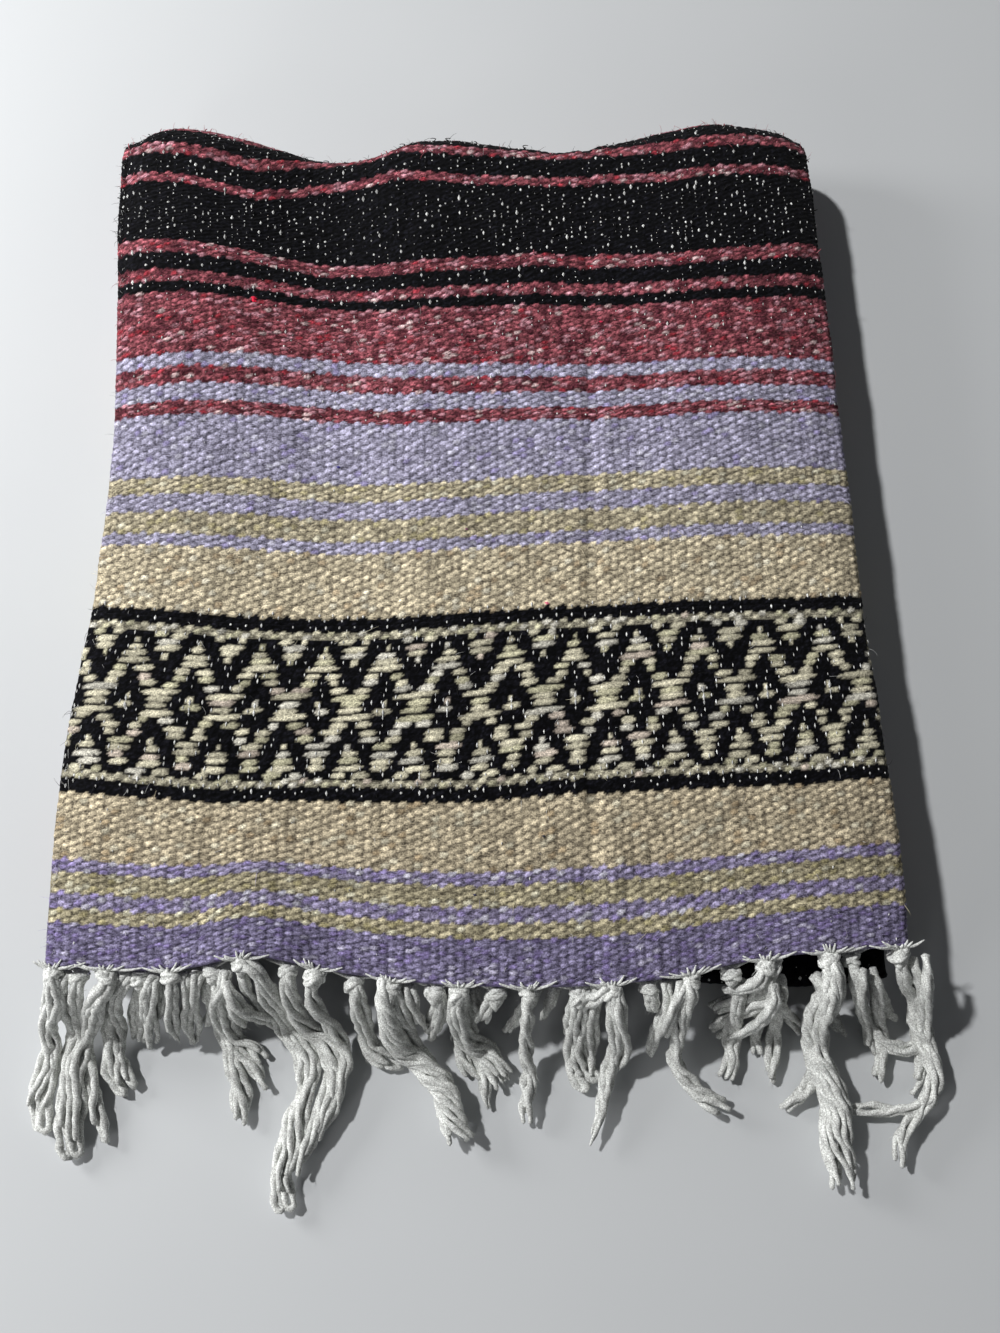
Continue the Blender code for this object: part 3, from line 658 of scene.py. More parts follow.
halfTurn, lastTurn = (0, pi), (0.35, pi / 2)
rolls = {  # samples, then each roll's depths in the stack, its nearest and farthest and the turn it shows
    "Left": (54, (0.16, 0.50, 0.0010, 0.0046, halfTurn), (0.50, 0.83, 0.0012, 0.0046, halfTurn),
             (0.83, 1.0, 0.0014, 0.0030, lastTurn)),
    "Right": (40, (0.50, 1.0, 0.0008, 0.0058, halfTurn)),
}
edges = {"rowsPast": 16, "betweenRolls": 0.5, "layer": 3, "waves": ((0.0009, 31, 11), (0.0005, 90, -9))}
for side, (samples, *its) in rolls.items():
    depth, inwards, ends, reach = [], [], [], 0.0
    for low, high, nearest, farthest, (start, sweep) in its:
        halfThick = (high - low) * blanket["stack"] / 4
        count = max(4, round(samples * (high - low)))
        for k in range(count + 1):
            angle = start + sweep * k / count
            depth.append((low + high) / 2 - (high - low) / 2 * math.cos(angle))
            inwards.append(farthest - (farthest - nearest) * math.sin(angle))
            ends.append(reach + pi * halfThick * k / count / blanket["endPitch"])
        reach = ends[-1] + edges["betweenRolls"]
    order = -1 if side == "Left" else 1  # outwards is to the left there, so the columns run the other way
    depth, inwards, ends = (np.array(values)[::order] for values in (depth, inwards, ends))
    share = np.full(len(depth), 0.0 if side == "Left" else 1.0)
    aside = inwards if side == "Left" else blanket["sideFold"] - inwards
    rows = np.arange(1, (seamRow + edges["rowsPast"]) * 2) / 2
    grid = clothSurface(rows, share, aside, 0 * share, depth)
    grid[..., 0] += sum(far * np.sin(a * grid[..., 1] + b * depth) for far, a, b in edges["waves"])
    wovenPiece("foldedEdges" + side, rows, ends, grid, edges["layer"], ["inner_layers"])

# the blanket's middle, folded round at the front under both hems, and the hems behind the fringe

fold = {"left": (0.0012, 0.003), "right": (0.0010, 0.005), "rows": 49, "perEnd": 2.5, "past": 3.2, "layer": 5}
radius = blanket["middleFold"]
rows = np.arange(seamRow * 2 + 1, (seamRow + fold["rows"]) * 2) / 2
ends = np.arange(0, blanket["ends"] + fold["past"], 1 / fold["perEnd"])
share = ends / ends[-1]
centre = lineMet(share, "middleFold") + radius
gone = lengthAt(rows)[:, None] - float(lengthAt(seamRow))
flatPart = blanket["seam"] - centre
angle = np.clip((gone - flatPart) / radius, 0, pi)
tucked = np.maximum(0, gone - flatPart - pi * radius)
shown = tucked.max(axis=1) < blanket["tuck"]
y = np.where(gone < flatPart, blanket["seam"] - gone, centre - radius * np.sin(angle) + tucked)[shown]
z = np.where(gone < flatPart, 0, radius * (1 - np.cos(angle)))[shown]
rows, over = rows[shown], np.maximum(0, z / radius - 1)
leftX = sideAt("left", y) + fold["left"][0] + fold["left"][1] * over
rightX = sideAt("right", y) - fold["right"][0] - fold["right"][1] * over
grid = np.stack([leftX + (rightX - leftX) * share, y, z], axis=-1)
wovenPiece("middleFold", rows, ends, grid, fold["layer"], ["middle_fold"])

hemStack = {"layers": 5, "samples": 5, "grooves": 0.0018, "back": 0.0004, "hems": 0.030, "layer": 6}
ends = np.arange(0, blanket["ends"] + 0.01, 0.5)
share = ends / blanket["ends"]
front = lineMet(share, "hem") + hemStack["back"]
frontX = threadAt(share, front)
top = topHeight(frontX, front) - blanket["wall"] - blanket["gap"]
bottom = 2 * blanket["middleFold"] + blanket["gap"]
steps = np.arange(hemStack["layers"] * hemStack["samples"] + 1)[:, None] / hemStack["samples"]
groove = hemStack["grooves"] * (1 - np.abs(np.sin(pi * steps)) ** 0.6)
high = bottom + (top - bottom) * steps / hemStack["layers"]
grid = np.stack([frontX + 0 * steps, front + groove, high], axis=-1)
wovenPiece("hemsBehind", steps[:, 0], ends, grid, hemStack["layer"], ["inner_layers"])

# the fringe: knotted tassels of soft twisted yarn, and the threads that they grow from

yarn = {
    "radius": 0.00188,
    "sides": 8,
    "step": 0.0024,
    "lobe": 0.13,  # how far the plies stand out
    "slub": 0.20,  # how far a yarn's thickness strays
    "turnsPerMetre": 48,
    "color": (0.65, 0.66, 0.635),
    "stray": 0.0008,  # how far a yarn wanders from its place in the bundle
    "spacing": 1.52,  # between neighbours, in radii
    "layer": 0.8,  # height of the upper yarns over the lower ones, in spacings
    "offFloor": 1.25,  # lowest middle of a yarn, in radii
}
gather = {"level": 0.002, "spread": 0.46, "over": 0.040, "innerWidth": 1.2, "lean": 0.55, "tipSag": 0.6}
hairs = {"count": 8, "long": 0.0026, "radius": 0.00011, "low": 0.0003, "seed": 11}  # stray hairs on each yarn
fringeRows = {  # how far under the top each row's knots lie, over what distance it falls, where it rests
    "upper": (0.0032, 0.040, 0.0062),
    "second": (0.0072, 0.035, 0.0036),
    "lower": (0.0140, 0.029, 0.0014),
}
# each tassel's width in mm, and its route seen from above, x and y in mm by turns
upperTassels = {
    "leftPair": (10, -198.7, -183.3, -200.3, -197.6, -209, -211.2, -210.1, -230.8, -213, -245.5,
        -211.8, -255.5),
    "looped": (11, -173.9, -185.9, -174.6, -192.9, -189.3, -208.8, -196.7, -227.3, -197.4, -249.8,
        -196.6, -265.8),
    "point": (7, -144.4, -185.1, -143.5, -192.9, -146.6, -205.3, -148.6, -224.1),
    "bigLeft": (11, -112.1, -180.3, -104, -186, -101, -198.8, -96.4, -213.7, -87, -227.3, -86.3, -240.6,
        -91.2, -254.6, -94.7, -268.8, -97.4, -278.6, -94.9, -288.8),
    "bigRight": (7, -78.2, -182.9, -81.3, -197.7, -75.3, -209.7, -69.4, -222.8, -69.9, -234.9, -75.4, -249.8,
        -84.5, -266.7),
    "thickRope": (12, -46.6, -188.1, -47.3, -202, -41.9, -218.9, -29.4, -230.8, -20.7, -239.7, -17.0, -252,
        -13.6, -262, -11.8, -270.5),
    "straight": (7, 17.7, -190.7, 17.3, -202.7, 16.8, -216.5, 18.9, -230.8, 17.8, -243.3, 16.8, -256.4),
    "flung": (6, 54.7, -192.8, 49.3, -197.2, 43.5, -198.8, 35.7, -206),
    "spike": (8, 55.7, -191.1, 56.9, -202.6, 59.1, -218.5, 56.6, -232.6, 52.9, -246.3, 47.2, -266.3),
    "spikeKnee": (3, 58.4, -192, 60, -206.3, 63.1, -221.5, 60.5, -228.2, 54.7, -231.7),
    "frayMiddle": (5, 88.3, -190.3, 84.9, -199, 83.3, -209.6, 79.4, -217.8),
    "hook": (8, 91.6, -188.5, 91.1, -196.4, 88.3, -205.8, 88.5, -217.9, 88.4, -226.4, 92.8, -234.9,
        103.7, -244.1, 114.1, -250.1),
    "sweep": (7, 125.9, -183.3, 121.9, -190.3, 115.9, -193.3, 108.3, -193.8),
    "trunk": (13, 154.9, -179.8, 157.2, -191.4, 155.8, -199.4, 153.9, -209.8, 155.3, -217.4, 156, -226.4,
        160.3, -236.6, 162.7, -248.1, 161.5, -260.7, 163.7, -273.5, 164.4, -283.8),
    "rightmost": (8, 188, -172.8, 191.9, -186.2, 202.9, -199.8, 205.1, -211.4, 210.1, -221.9, 211.8, -231.7,
        207.9, -241.5, 200.7, -250.7, 193.6, -260.3, 189.9, -276.9),
    "bridge": (5, 200, -178, 207, -215, 209.5, -240.5, 199.2, -248.4, 184.1, -248.4, 169.4, -248.4,
        157.4, -250.6),
}
secondTassels = {
    "leftBehind": (6, -193, -185.2, -198.4, -202.9, -200.6, -221.9, -201.2, -241.9, -205.5, -261.5),
    "loopedSide": (5, -185.5, -186.5, -193.9, -207.8, -192.4, -227.3, -186.7, -244.1, -182.6, -260.7),
    "shortLoops": (10, -164.4, -185.7, -173.3, -198.1, -180.4, -212.8, -180, -226.4, -174, -238),
    "dimMiddle": (9, -153.2, -187, -157.3, -197.8, -162.2, -210.8, -164.6, -221.9),
    "pointMate": (5, -137.7, -186.1, -139.8, -197.9, -146.4, -215.5),
    "slim": (4, -132.2, -185.2, -135.2, -197.9, -139.8, -207.9, -142.7, -220.1),
    "crossing": (4, -119.8, -185.2, -121.3, -193.2, -129.1, -202.1, -138.6, -211),
    "bigUnder": (5, -112.1, -182.6, -110.3, -194.3, -105.6, -206.2, -99.4, -211.9),
    "bigMiddle": (8, -92.3, -182.6, -91.9, -198.6, -86.3, -211.4, -77.7, -221, -74.2, -234.9, -79.2, -249.8,
        -87, -264.1, -91.7, -280.3),
    "pairBeside": (8, -60.8, -187.2, -59.5, -203, -57.3, -219, -47.6, -229.5),
    "ropeSide": (5, -41.8, -189.6, -40.1, -198.5, -39.3, -207.3, -35.9, -216.3),
    "ropeTip": (3, -44.5, -190.5, -37.2, -213.8, -26.7, -233.4, -22.6, -248.6, -21.9, -263.7),
    "shade": (8, -24.4, -188.7, -23.1, -197.7, -24.7, -206.4, -29.7, -216.4),
    "fanned": (10, -13.4, -190.5, -14.1, -204.2, -9.4, -217.2, 0.2, -226.4, 6, -234.4, 7.4, -240.6),
    "slant": (6, 1.8, -189.8, 0.9, -197.2, -3.4, -209.2),
    "bundle": (9, 41.7, -189.6, 41, -205.3, 41.6, -219.1, 43.2, -230.8, 47, -235.7),
    "bundleMate": (5, 49.1, -189.6, 49.1, -206.3, 48.7, -221, 47, -234.9),
    "stub": (8, 73, -189.6, 73.8, -195.8, 75.4, -203.8),
    "frayLeft": (5, 81.2, -189.6, 80.9, -201.4, 78.7, -214.3, 74.5, -225),
    "sweepLow": (5, 129.8, -190.9, 130.4, -198.9, 127.2, -206.2, 121, -213, 108.5, -218.3),
    "link": (4, 129.2, -187, 128.2, -194.1, 137.2, -201.6, 146.2, -210.1, 152.6, -214.6),
    "trunkSide": (5, 156, -190.3, 155, -212.3, 153.9, -229.8, 151.3, -238.7, 146.1, -244.4, 136.3, -248.8),
    "curl": (6, 166.5, -181.7, 170.9, -194.4, 181.3, -207.3, 189.4, -218.3, 200.5, -222.3, 209.9, -219.2,
        212.6, -212.9, 209.6, -209.7),
    "curlUnder": (5, 169.9, -184.3, 172.2, -198, 180.9, -211, 183.1, -218.3, 183.8, -226.4),
    "besideBig": (6, -119.1, -189.8, -115.5, -198.4, -109.2, -205.6, -101.1, -211.4),
    "midFill": (6, -36.2, -190.3, -34.3, -202.0, -31.0, -212.4),
    "rightShort": (5, 195.1, -179.9, 204.6, -203.5, 206.2, -227.3, 204.3, -235.3, 198.4, -241.9),
}
lowerTassels = {
    "dimLeft": (6, -160.6, -186.8, -165.5, -198.4, -171.2, -208.2, -171.6, -219.2),
    "hanger": (8, -128.8, -186.8, -129.8, -203.2, -124.9, -219.6, -120, -234.4, -118.4, -244.1,
        -119.9, -256.8),
    "hangerSide": (4, -126.7, -189, -126.3, -212.8, -114.7, -228.2, -105.7, -241.5),
    "hangerTop": (3, -124, -188.1, -122.4, -213.7, -113.2, -221.9, -107.5, -228.6),
    "fannedLeft": (5, -14.6, -191.7, -14.7, -212.7, -12.2, -228.2, -5, -238),
    "fannedTip": (4, -10.9, -191.7, -8.5, -217.4, -3.6, -233.1, 0.3, -250.7),
    "slantMate": (5, -6.2, -190.8, -7.1, -198, -4.6, -207.8),
    "straightSide": (4, 23.7, -190.8, 16.4, -202, 11.8, -209.1, 7.4, -216.4),
    "straightBack": (5, 31.1, -190.8, 27.6, -200.9, 24.7, -207.9),
    "fingerLeft": (6, 115.2, -189, 117.4, -208, 116.5, -221.9, 112.2, -236.6),
    "fingerMiddle": (5, 125.6, -188.1, 128.7, -208.1, 128.3, -217.4, 128.1, -228.2),
    "fingerRight": (6, 134.1, -187.2, 136.2, -208.1, 135.9, -225.5, 133.8, -241),
    "trunkBack": (4, 150.9, -186.8, 158, -198.4, 167.7, -208.3, 171.7, -217.4),
    "drip": (5, 177.1, -187.2, 186.8, -210.1, 187.9, -223.7, 185.2, -240.6),
    "besideBigLow": (5, -117.6, -192.5, -116.5, -203.8, -114.7, -210.6),
    "sweepDim": (6, 133.3, -193.4, 124.7, -195.5, 115.9, -198.2, 105.8, -203.6),
    "sweepDimLow": (5, 134.0, -195.4, 124.3, -201.1, 114.2, -208.8, 102.1, -217.3),
    "midFillRight": (5, -17.3, -191.6, -20.1, -202.0, -23.7, -211.5),
    "rightFill": (5, 177.0, -184.9, 183.0, -193.6, 189.9, -201.7, 198.4, -208.3),
    "leftFill": (7, -159.9, -187.7, -161.0, -198.4, -158.9, -208.8),
    "leftFillMate": (6, -149.6, -187.6, -153.5, -197.5, -158.2, -206.1),
}
tassels = {"upper": upperTassels, "second": secondTassels, "lower": lowerTassels}
tipsOf = {  # the rest end plainly
    "loops": ("leftPair", "looped", "bigLeft", "trunk", "loopedSide", "shortLoops", "pairBeside", "bundle"),
    "pointed": ("point", "flung", "spike", "fannedTip"),
    "splayed": ("thickRope", "hook", "fanned"),
}
twisted = {  # metres to one turn of the whole tassel
    "thickRope": 0.058, "trunk": 0.13, "spike": 0.075, "hook": 0.075, "straight": 0.062, "rightmost": 0.085,
    "bigRight": 0.070, "bigMiddle": 0.080, "curl": 0.070,
}
knots = {
    "upper": (-198.7, -173.9, -144.4, -112.1, -79.5, -44.6, -13.4, 17.7, 55.7, 91.6, 125.9, 154.9, 188.0),
    "second": (-188.0, -160.0, -126.0, -92.0, -62.0, -25.0, 3.0, 41.5, 73.0, 111.0, 129.5, 166.5),
    "lower": (),
}


def lengthsAlong(path):
    return np.concatenate([[0], np.cumsum(np.linalg.norm(np.diff(path, axis=0), axis=1))])


def curveThrough(points, step):
    points = np.array(points, float)
    ends = np.concatenate([[2 * points[0] - points[1]], points, [2 * points[-1] - points[-2]]])
    fine = []
    for a, b, c, d in zip(ends, ends[1:], ends[2:], ends[3:]):
        t = np.linspace(0, 1, 12, endpoint=False)[:, None]
        bends = (2 * a - 5 * b + 4 * c - d) * t * t + (3 * b - a - 3 * c + d) * t**3
        fine.append(0.5 * (2 * b + (c - a) * t + bends))
    fine = np.concatenate([*fine, points[-1:]])
    gone = lengthsAlong(fine)
    at = np.linspace(0, gone[-1], max(3, round(gone[-1] / step)) + 1)
    return np.stack([np.interp(at, gone, line) for line in fine.T], axis=-1)


def framed(path):
    along = unit(np.gradient(path, axis=0))
    side = np.cross(along, (0, 0, 1)) + (0.05, 0, 0)  # the small push serves a path that stands upright
    side = unit(side - along * (side * along).sum(axis=1, keepdims=True))
    return along, side, np.cross(side, along)


def tubesPiece(name, tubes, material, nodes=()):
    points, faces, uvs, colors, crests = [], [], [], [], []
    count = 0
    for k, (path, radius, sides, lobe, turns, color) in enumerate(tubes):
        along, side, up = framed(path)
        gone = lengthsAlong(path)
        angle = 2 * pi * np.arange(sides)[None, :] / sides
        swell = np.cos(2 * (angle - 2 * pi * turns * gone[:, None]))
        thick = 1 + (yarn["slub"] if turns else 0) * np.sin(gone * 640 + 5 * k) * np.sin(gone * 1510 + 3 * k)
        size = (radius * thick)[:, None] * (1 + lobe * (swell - 0.3))
        outward = np.cos(angle)[..., None] * side[:, None] + np.sin(angle)[..., None] * up[:, None]
        tips = [path[0] - along[0] * radius[0] * 0.6, path[-1] + along[-1] * radius[-1] * 0.9]
        points += [(path[:, None] + size[..., None] * outward).reshape(-1, 3), tips]
        # crest from each ply's swell: the yarn material paints shade between the plies and a highlight on
        # their crowns from it
        crests += [(0.55 + 0.45 * swell).ravel(), (0.6, 0.6)]
        colors.append(np.tile(color, (len(path) * sides + 2, 1)))
        i, j = np.indices((len(path) - 1, sides))[..., None] + quadCorners.T[:, None, None]
        faces += (count + i * sides + j % sides).reshape(-1, 4).tolist()
        low, high = k / len(tubes), (k + 0.9) / len(tubes)
        uvs.append(np.stack([i / len(path), low + (high - low) * j / sides], axis=-1).reshape(-1, 2))
        tip = count + len(path) * sides
        for s in range(sides):
            t = (s + 1) % sides
            faces += [(count + t, count + s, tip), (tip - sides + s, tip - sides + t, tip + 1)]
            uvs.append([(0, low), (0.001, low), (0, high), (0.999, low), (1, low), (0.999, high)])
        count = tip + 2
    points, colors, crests, uvs = map(np.concatenate, (points, colors, crests, uvs))
    newPiece(name, points, faces, colors, crests, uvs, material, nodes)


def tasselTubes(name, row, width, *route):
    draws = np.random.RandomState(sum(map(ord, name)))
    under, drop, rests = fringeRows[row]
    flat = curveThrough(np.reshape(route, (-1, 2)) / 1000, yarn["step"])
    gone = lengthsAlong(flat)
    share = gone / gone[-1]
    high = float(topHeight(flat[0, 0], lineAcross("hem", flat[0, 0]))) - under
    fall = eased(np.clip((gone - gather["level"]) / drop, 0, 1))
    z = high * (1 - fall) + (rests + yarn["radius"]) * fall
    z -= rests * gather["tipSag"] * np.clip(share * 2 - 1, 0, 1) * fall
    centre = np.column_stack([flat, z])
    along, side, up = framed(centre)
    spread = np.clip(gather["spread"] + gone / gather["over"], 0, 1)
    if name in tipsOf["pointed"]:
        spread *= np.clip((1 - share) / 0.45, 0.06, 1)
    if name in tipsOf["splayed"]:
        spread *= 1 + 0.55 * np.clip((share - 0.72) / 0.28, 0, 1)
    if name in tipsOf["loops"]:
        spread *= 1 + 0.22 * np.sin(pi * np.clip((share - 0.55) / 0.45, 0, 1))
    thick = yarn["radius"] * (0.92 + 0.16 * draws.rand())
    pitch = yarn["spacing"] * thick
    lowest = thick * yarn["offFloor"]
    width = width * (1 if row == "upper" else gather["innerWidth"]) / 1000
    count = max(2, round(width / pitch))  # yarns side by side, with one fewer lying on them
    seats = [(k - (count - 1) / 2, 0) for k in range(count)]
    seats += [(k - (count - 2) / 2, 1) for k in range(count - 1)]
    swing = 0.5 + 0.6 * draws.rand()
    roll = swing * np.sin(gone * 2 * pi / (0.05 + 0.05 * draws.rand()) + 6 * draws.rand())
    lean, climb = gather["lean"], 1.0
    if name in twisted:  # the yarns lie round a ring and wind about each other
        ringRadius = width / 2 - thick
        inRing = round(2 * pi * ringRadius / pitch)
        turns = 2 * pi * np.arange(inRing) / inRing
        seats = np.stack([np.cos(turns), np.sin(turns) / yarn["layer"]], axis=-1) * ringRadius / pitch
        roll = gone * 2 * pi / twisted[name]
        lean, climb = 1.0, np.cos(roll)
        centre[:, 2] += ringRadius * 0.55 * fall
    paths = []
    for across, level in seats:
        wobble = yarn["stray"] * np.sin(gone * 2 * pi / (0.018 + 0.02 * draws.rand()) + 6 * draws.rand())
        aside = spread * pitch * (across * np.cos(roll) - level * yarn["layer"] * np.sin(roll)) + wobble
        above = spread * pitch * yarn["layer"] * (level * climb + lean * across * np.sin(roll)) + 0.5 * wobble
        paths.append(offFloor(centre + side * aside[:, None] + up * above[:, None], lowest))
    base = np.array(yarn["color"]) * (0.90 + 0.14 * draws.rand())
    spin = yarn["sides"], yarn["lobe"], yarn["turnsPerMetre"]
    tubes = []
    while paths:
        first = paths.pop(0)
        if name in tipsOf["loops"] and name not in twisted and len(seats) - len(paths) < count:
            second = paths.pop(0)  # two yarns that are one, turned back at the tip
            second = second[: len(second) - int(3 * draws.rand())]
            gap = second[-1] - first[-1]
            onward = along[-1] * max(0.0015, np.linalg.norm(gap) * 0.7)
            corners = [first[-1], first[-1] + gap * 0.1 + onward, second[-1] - gap * 0.1 + onward, second[-1]]
            path = np.concatenate([first[:-1], curveThrough(corners, yarn["step"] * 0.8), second[-2::-1]])
            tubes.append((offFloor(path, lowest), np.full(len(path), thick), *spin, base))
            continue
        path = first[: max(4, int(len(first) * (1 - 0.14 * draws.rand())))]
        taper = np.clip((np.linspace(0, 1, len(path)) - 0.8) / 0.2, 0, 1)
        taper *= 0.75 if name in tipsOf["pointed"] else 0.30
        radius = thick * (1 - taper) * (0.9 + 0.2 * draws.rand())
        tubes.append((path, radius, *spin, base * (0.94 + 0.10 * draws.rand())))
    return tubes


knot = {
    "size": 0.0032,
    "round": 1.25,  # how often a yarn goes round it
    "samples": 22,
    "yarn": 0.00155,
    "spin": (8, 0.16, 70),  # as in yarn: sides, lobe and turns
    "thread": 0.00054,
    "threads": 9,
    "spread": 0.028,
    "rise": 0.0034,
    "under": 0.0036,
    "seed": 40,
}


def knotTubes(x, row, draws):
    hemY = float(lineAcross("hem", x))
    under = fringeRows[row][0]
    middle = np.array([x, hemY - knot["under"] - 0.2 * under, float(topHeight(x, hemY)) - under - 0.0006])
    color = np.array(yarn["color"]) * 1.02
    size = knot["size"] * (0.85 + 0.35 * draws.rand())
    tubes = []
    for _ in range(3):  # three turns of yarn that cross each other
        turns = np.linspace(0, knot["round"] * 2 * pi, knot["samples"]) + 6 * draws.rand()
        tip, lean = 1.5 * (draws.rand() - 0.5), 1.2 * (draws.rand() - 0.5)
        tilted = tip * np.cos(turns) + lean * np.sin(turns) + 0.5 * (draws.rand() - 0.5)
        ring = np.stack([np.cos(turns), tilted, 0.85 * np.sin(turns)], axis=-1)
        shade = 0.92 + 0.12 * draws.rand()
        tubes.append((middle + size * ring, np.full(len(ring), knot["yarn"]), *knot["spin"], color * shade))
    ball = np.array([middle + (0, size * 1.4 * (1 - k), 0) for k in (0, 0.5, 1, 1.5, 2)])
    tubes.append((ball, size * np.array([0.5, 0.95, 1.12, 0.95, 0.6]), 8, 0.1, 60, color))
    for k in range(knot["threads"]):  # the warp ends that are drawn together into it
        off = ((k + 0.9 * (draws.rand() - 0.5)) / (knot["threads"] - 1) - 0.5) * knot["spread"]
        off *= 0.4 + 0.8 * draws.rand()
        atY = float(lineAcross("hem", x + off))
        high = float(topHeight(x + off, atY)) - (0.0002 if row == "upper" else under)
        climb = knot["rise"] * draws.rand() ** 2 * (1 - abs(off) / knot["spread"]) if row == "upper" else 0
        start = (x + off, atY + climb + 0.0003, high + 0.0005 + 0.0008 * draws.rand())
        near = (x + off * 0.6, atY * 0.6 + hemY * 0.4 - 0.0010 + 0.3 * climb, high + 0.0002)
        path = curveThrough([start, near, middle + (off * 0.12, size * 0.9, size * 0.5)], 0.0016)
        tubes.append((path, np.linspace(0.6, 2.0, len(path)) * knot["thread"], 5, 0.0, 0, color))
    return tubes


hairTubes = []
hairDraws = np.random.RandomState(hairs["seed"])
for row, its in tassels.items():
    tubes = [tube for name, how in its.items() for tube in tasselTubes(name, row, *how)]
    for path, radius, *_, color in tubes:
        for _ in range(hairs["count"]):
            k = hairDraws.randint(1, len(path) - 1)
            outward = unit(hairDraws.randn(3))
            start = path[k] + outward * radius[k] * 0.8
            onward = (path[k + 1] - path[k - 1]) * (0.3 + 0.5 * hairDraws.rand())
            long = hairs["long"] * (0.3 + 0.9 * hairDraws.rand())
            middle = start + (outward * 0.5 + hairDraws.randn(3) * 0.2) * long + onward * 0.5
            hair = offFloor(np.array([start, middle, start + outward * long * 0.7 + onward]), hairs["low"])
            hairTubes.append((hair, hairs["radius"] * np.array([1, 0.8, 0.5]), 3, 0.0, 0, color))
    draws = np.random.RandomState(knot["seed"])
    for x in knots[row]:
        tubes += knotTubes(x / 1000, row, draws)
    tubesPiece("fringe" + row.capitalize(), tubes, cottonYarn, ["fringe_" + row])
tubesPiece("fringeHairs", hairTubes, cottonYarn)

# specks of the pale warp between the beads, a few coloured nubs, and stray fibres

specks = {  # of each kind: how likely between two beads, half its length and half its width
    "blackLine": (0.64, 0.00100, 0.00050),
    "black": (0.52, 0.00078, 0.00050),
    "maroon": (0.20, 0.00052, 0.00036),
    "purple": (0.07, 0.00050, 0.00028),
    "violet": (0.07, 0.00050, 0.00028),
    "khaki": (0.03, 0.00045, 0.00028),
    "straw": (0.03, 0.00045, 0.00028),
    "beige": (0.02, 0.00045, 0.00028),
    "sand": (0.02, 0.00045, 0.00028),
    "lilac": (0.03, 0.00045, 0.00028),
    "figure": (0.30, 0.00090, 0.00040),
    "tick": (0.42, 0.00115, 0.00040),
    "diamondTick": (0.60, 0.001035, 0.00040),
    "cross": (1.0, 0.00195, 0.00066),
}
speckLook = {
    "color": (0.80, 0.80, 0.78),
    "high": 0.00030,
    "lift": 0.00018,
    "onMiddleFold": 0.25,
    "diamonds": 13,
}
lineRows = (26, 27, 50, 51)  # the black lines beside the figure
inDiamond = {"tick": (1.2, 3.3, 8.4, 17.2, 18.4), "cross": (9.1, 10.1)}  # rows from the figure's first
slubs = (  # x and y in mm, half its length in mm, its colour
    (-129.5, 165.0, 1.8, (0.75, 0.02, 0.06)), (28.9, -9.2, 1.5, (0.80, 0.22, 0.30)),
    (26.0, -124.6, 1.2, (0.05, 0.05, 0.06)), (-6.5, -151.0, 1.1, (0.06, 0.06, 0.10)),
    (-79.5, 67.4, 1.3, (0.05, 0.04, 0.22)), (97.0, 41.0, 1.0, (0.08, 0.05, 0.20)),
    (-12.0, 31.0, 1.0, (0.30, 0.12, 0.20)), (60.0, 152.0, 1.2, (0.70, 0.04, 0.10)),
)
slub = {"wide": 0.55, "high": 0.6, "lift": 0.0002, "near": 0.003, "above": 0.03}  # a share, mm, then metres
rowSpecks = np.array([specks["blackLine" if row in lineRows else dye] for row, dye in enumerate(rowDyes)])
rowSpecks[slice(*rowsInFigure), 0] = 0  # the figure has its own


def speckPlaces(rows, ends):  # row, end, half length and half width of each
    i, j = np.mgrid[: int(ends.max()), math.floor(rows.min()) : math.ceil(rows.max())].reshape(2, -1)
    chance, halfLong, halfWide = rowSpecks[np.minimum(j, len(rowSpecks) - 1)].T
    row = j + phaseOf(i) + 0.5 + 0.5 * (hashed(i, j, 20) - 0.5)
    end = i + 0.5 + 0.5 * (hashed(i, j, 22) - 0.5)
    places = np.column_stack([row, end, halfLong * (0.7 + 0.7 * hashed(i, j, 28)), halfWide])
    places = places[hashed(i, j, 21) < chance].tolist()
    figureRow = rowsInFigure[0]
    for r, starts in enumerate(floatStarts):
        for start in np.unique(starts):
            if hashed(start, r, 23) < specks["tick"][0]:
                end = start / 2 + 0.25 * (hashed(start, r, 24) - 0.5)
                places.append((figureRow + r + 0.3 + 0.4 * hashed(start, r, 25), end, *specks["tick"][1:]))
    for k in range(speckLook["diamonds"]):
        end = blanket["firstDiamond"] + len(chart[0]) * k
        for r in inDiamond["tick"]:
            if hashed(k, int(r * 10), 26) < specks["diamondTick"][0]:
                places.append((figureRow + r, end, *specks["diamondTick"][1:]))
        places += [(figureRow + r, end, *specks["cross"][1:]) for r in inDiamond["cross"]]
    places = np.array(places)
    return places[(places[:, 0] >= rows.min()) & (places[:, 0] <= rows.max()) & (places[:, 1] < ends.max())]


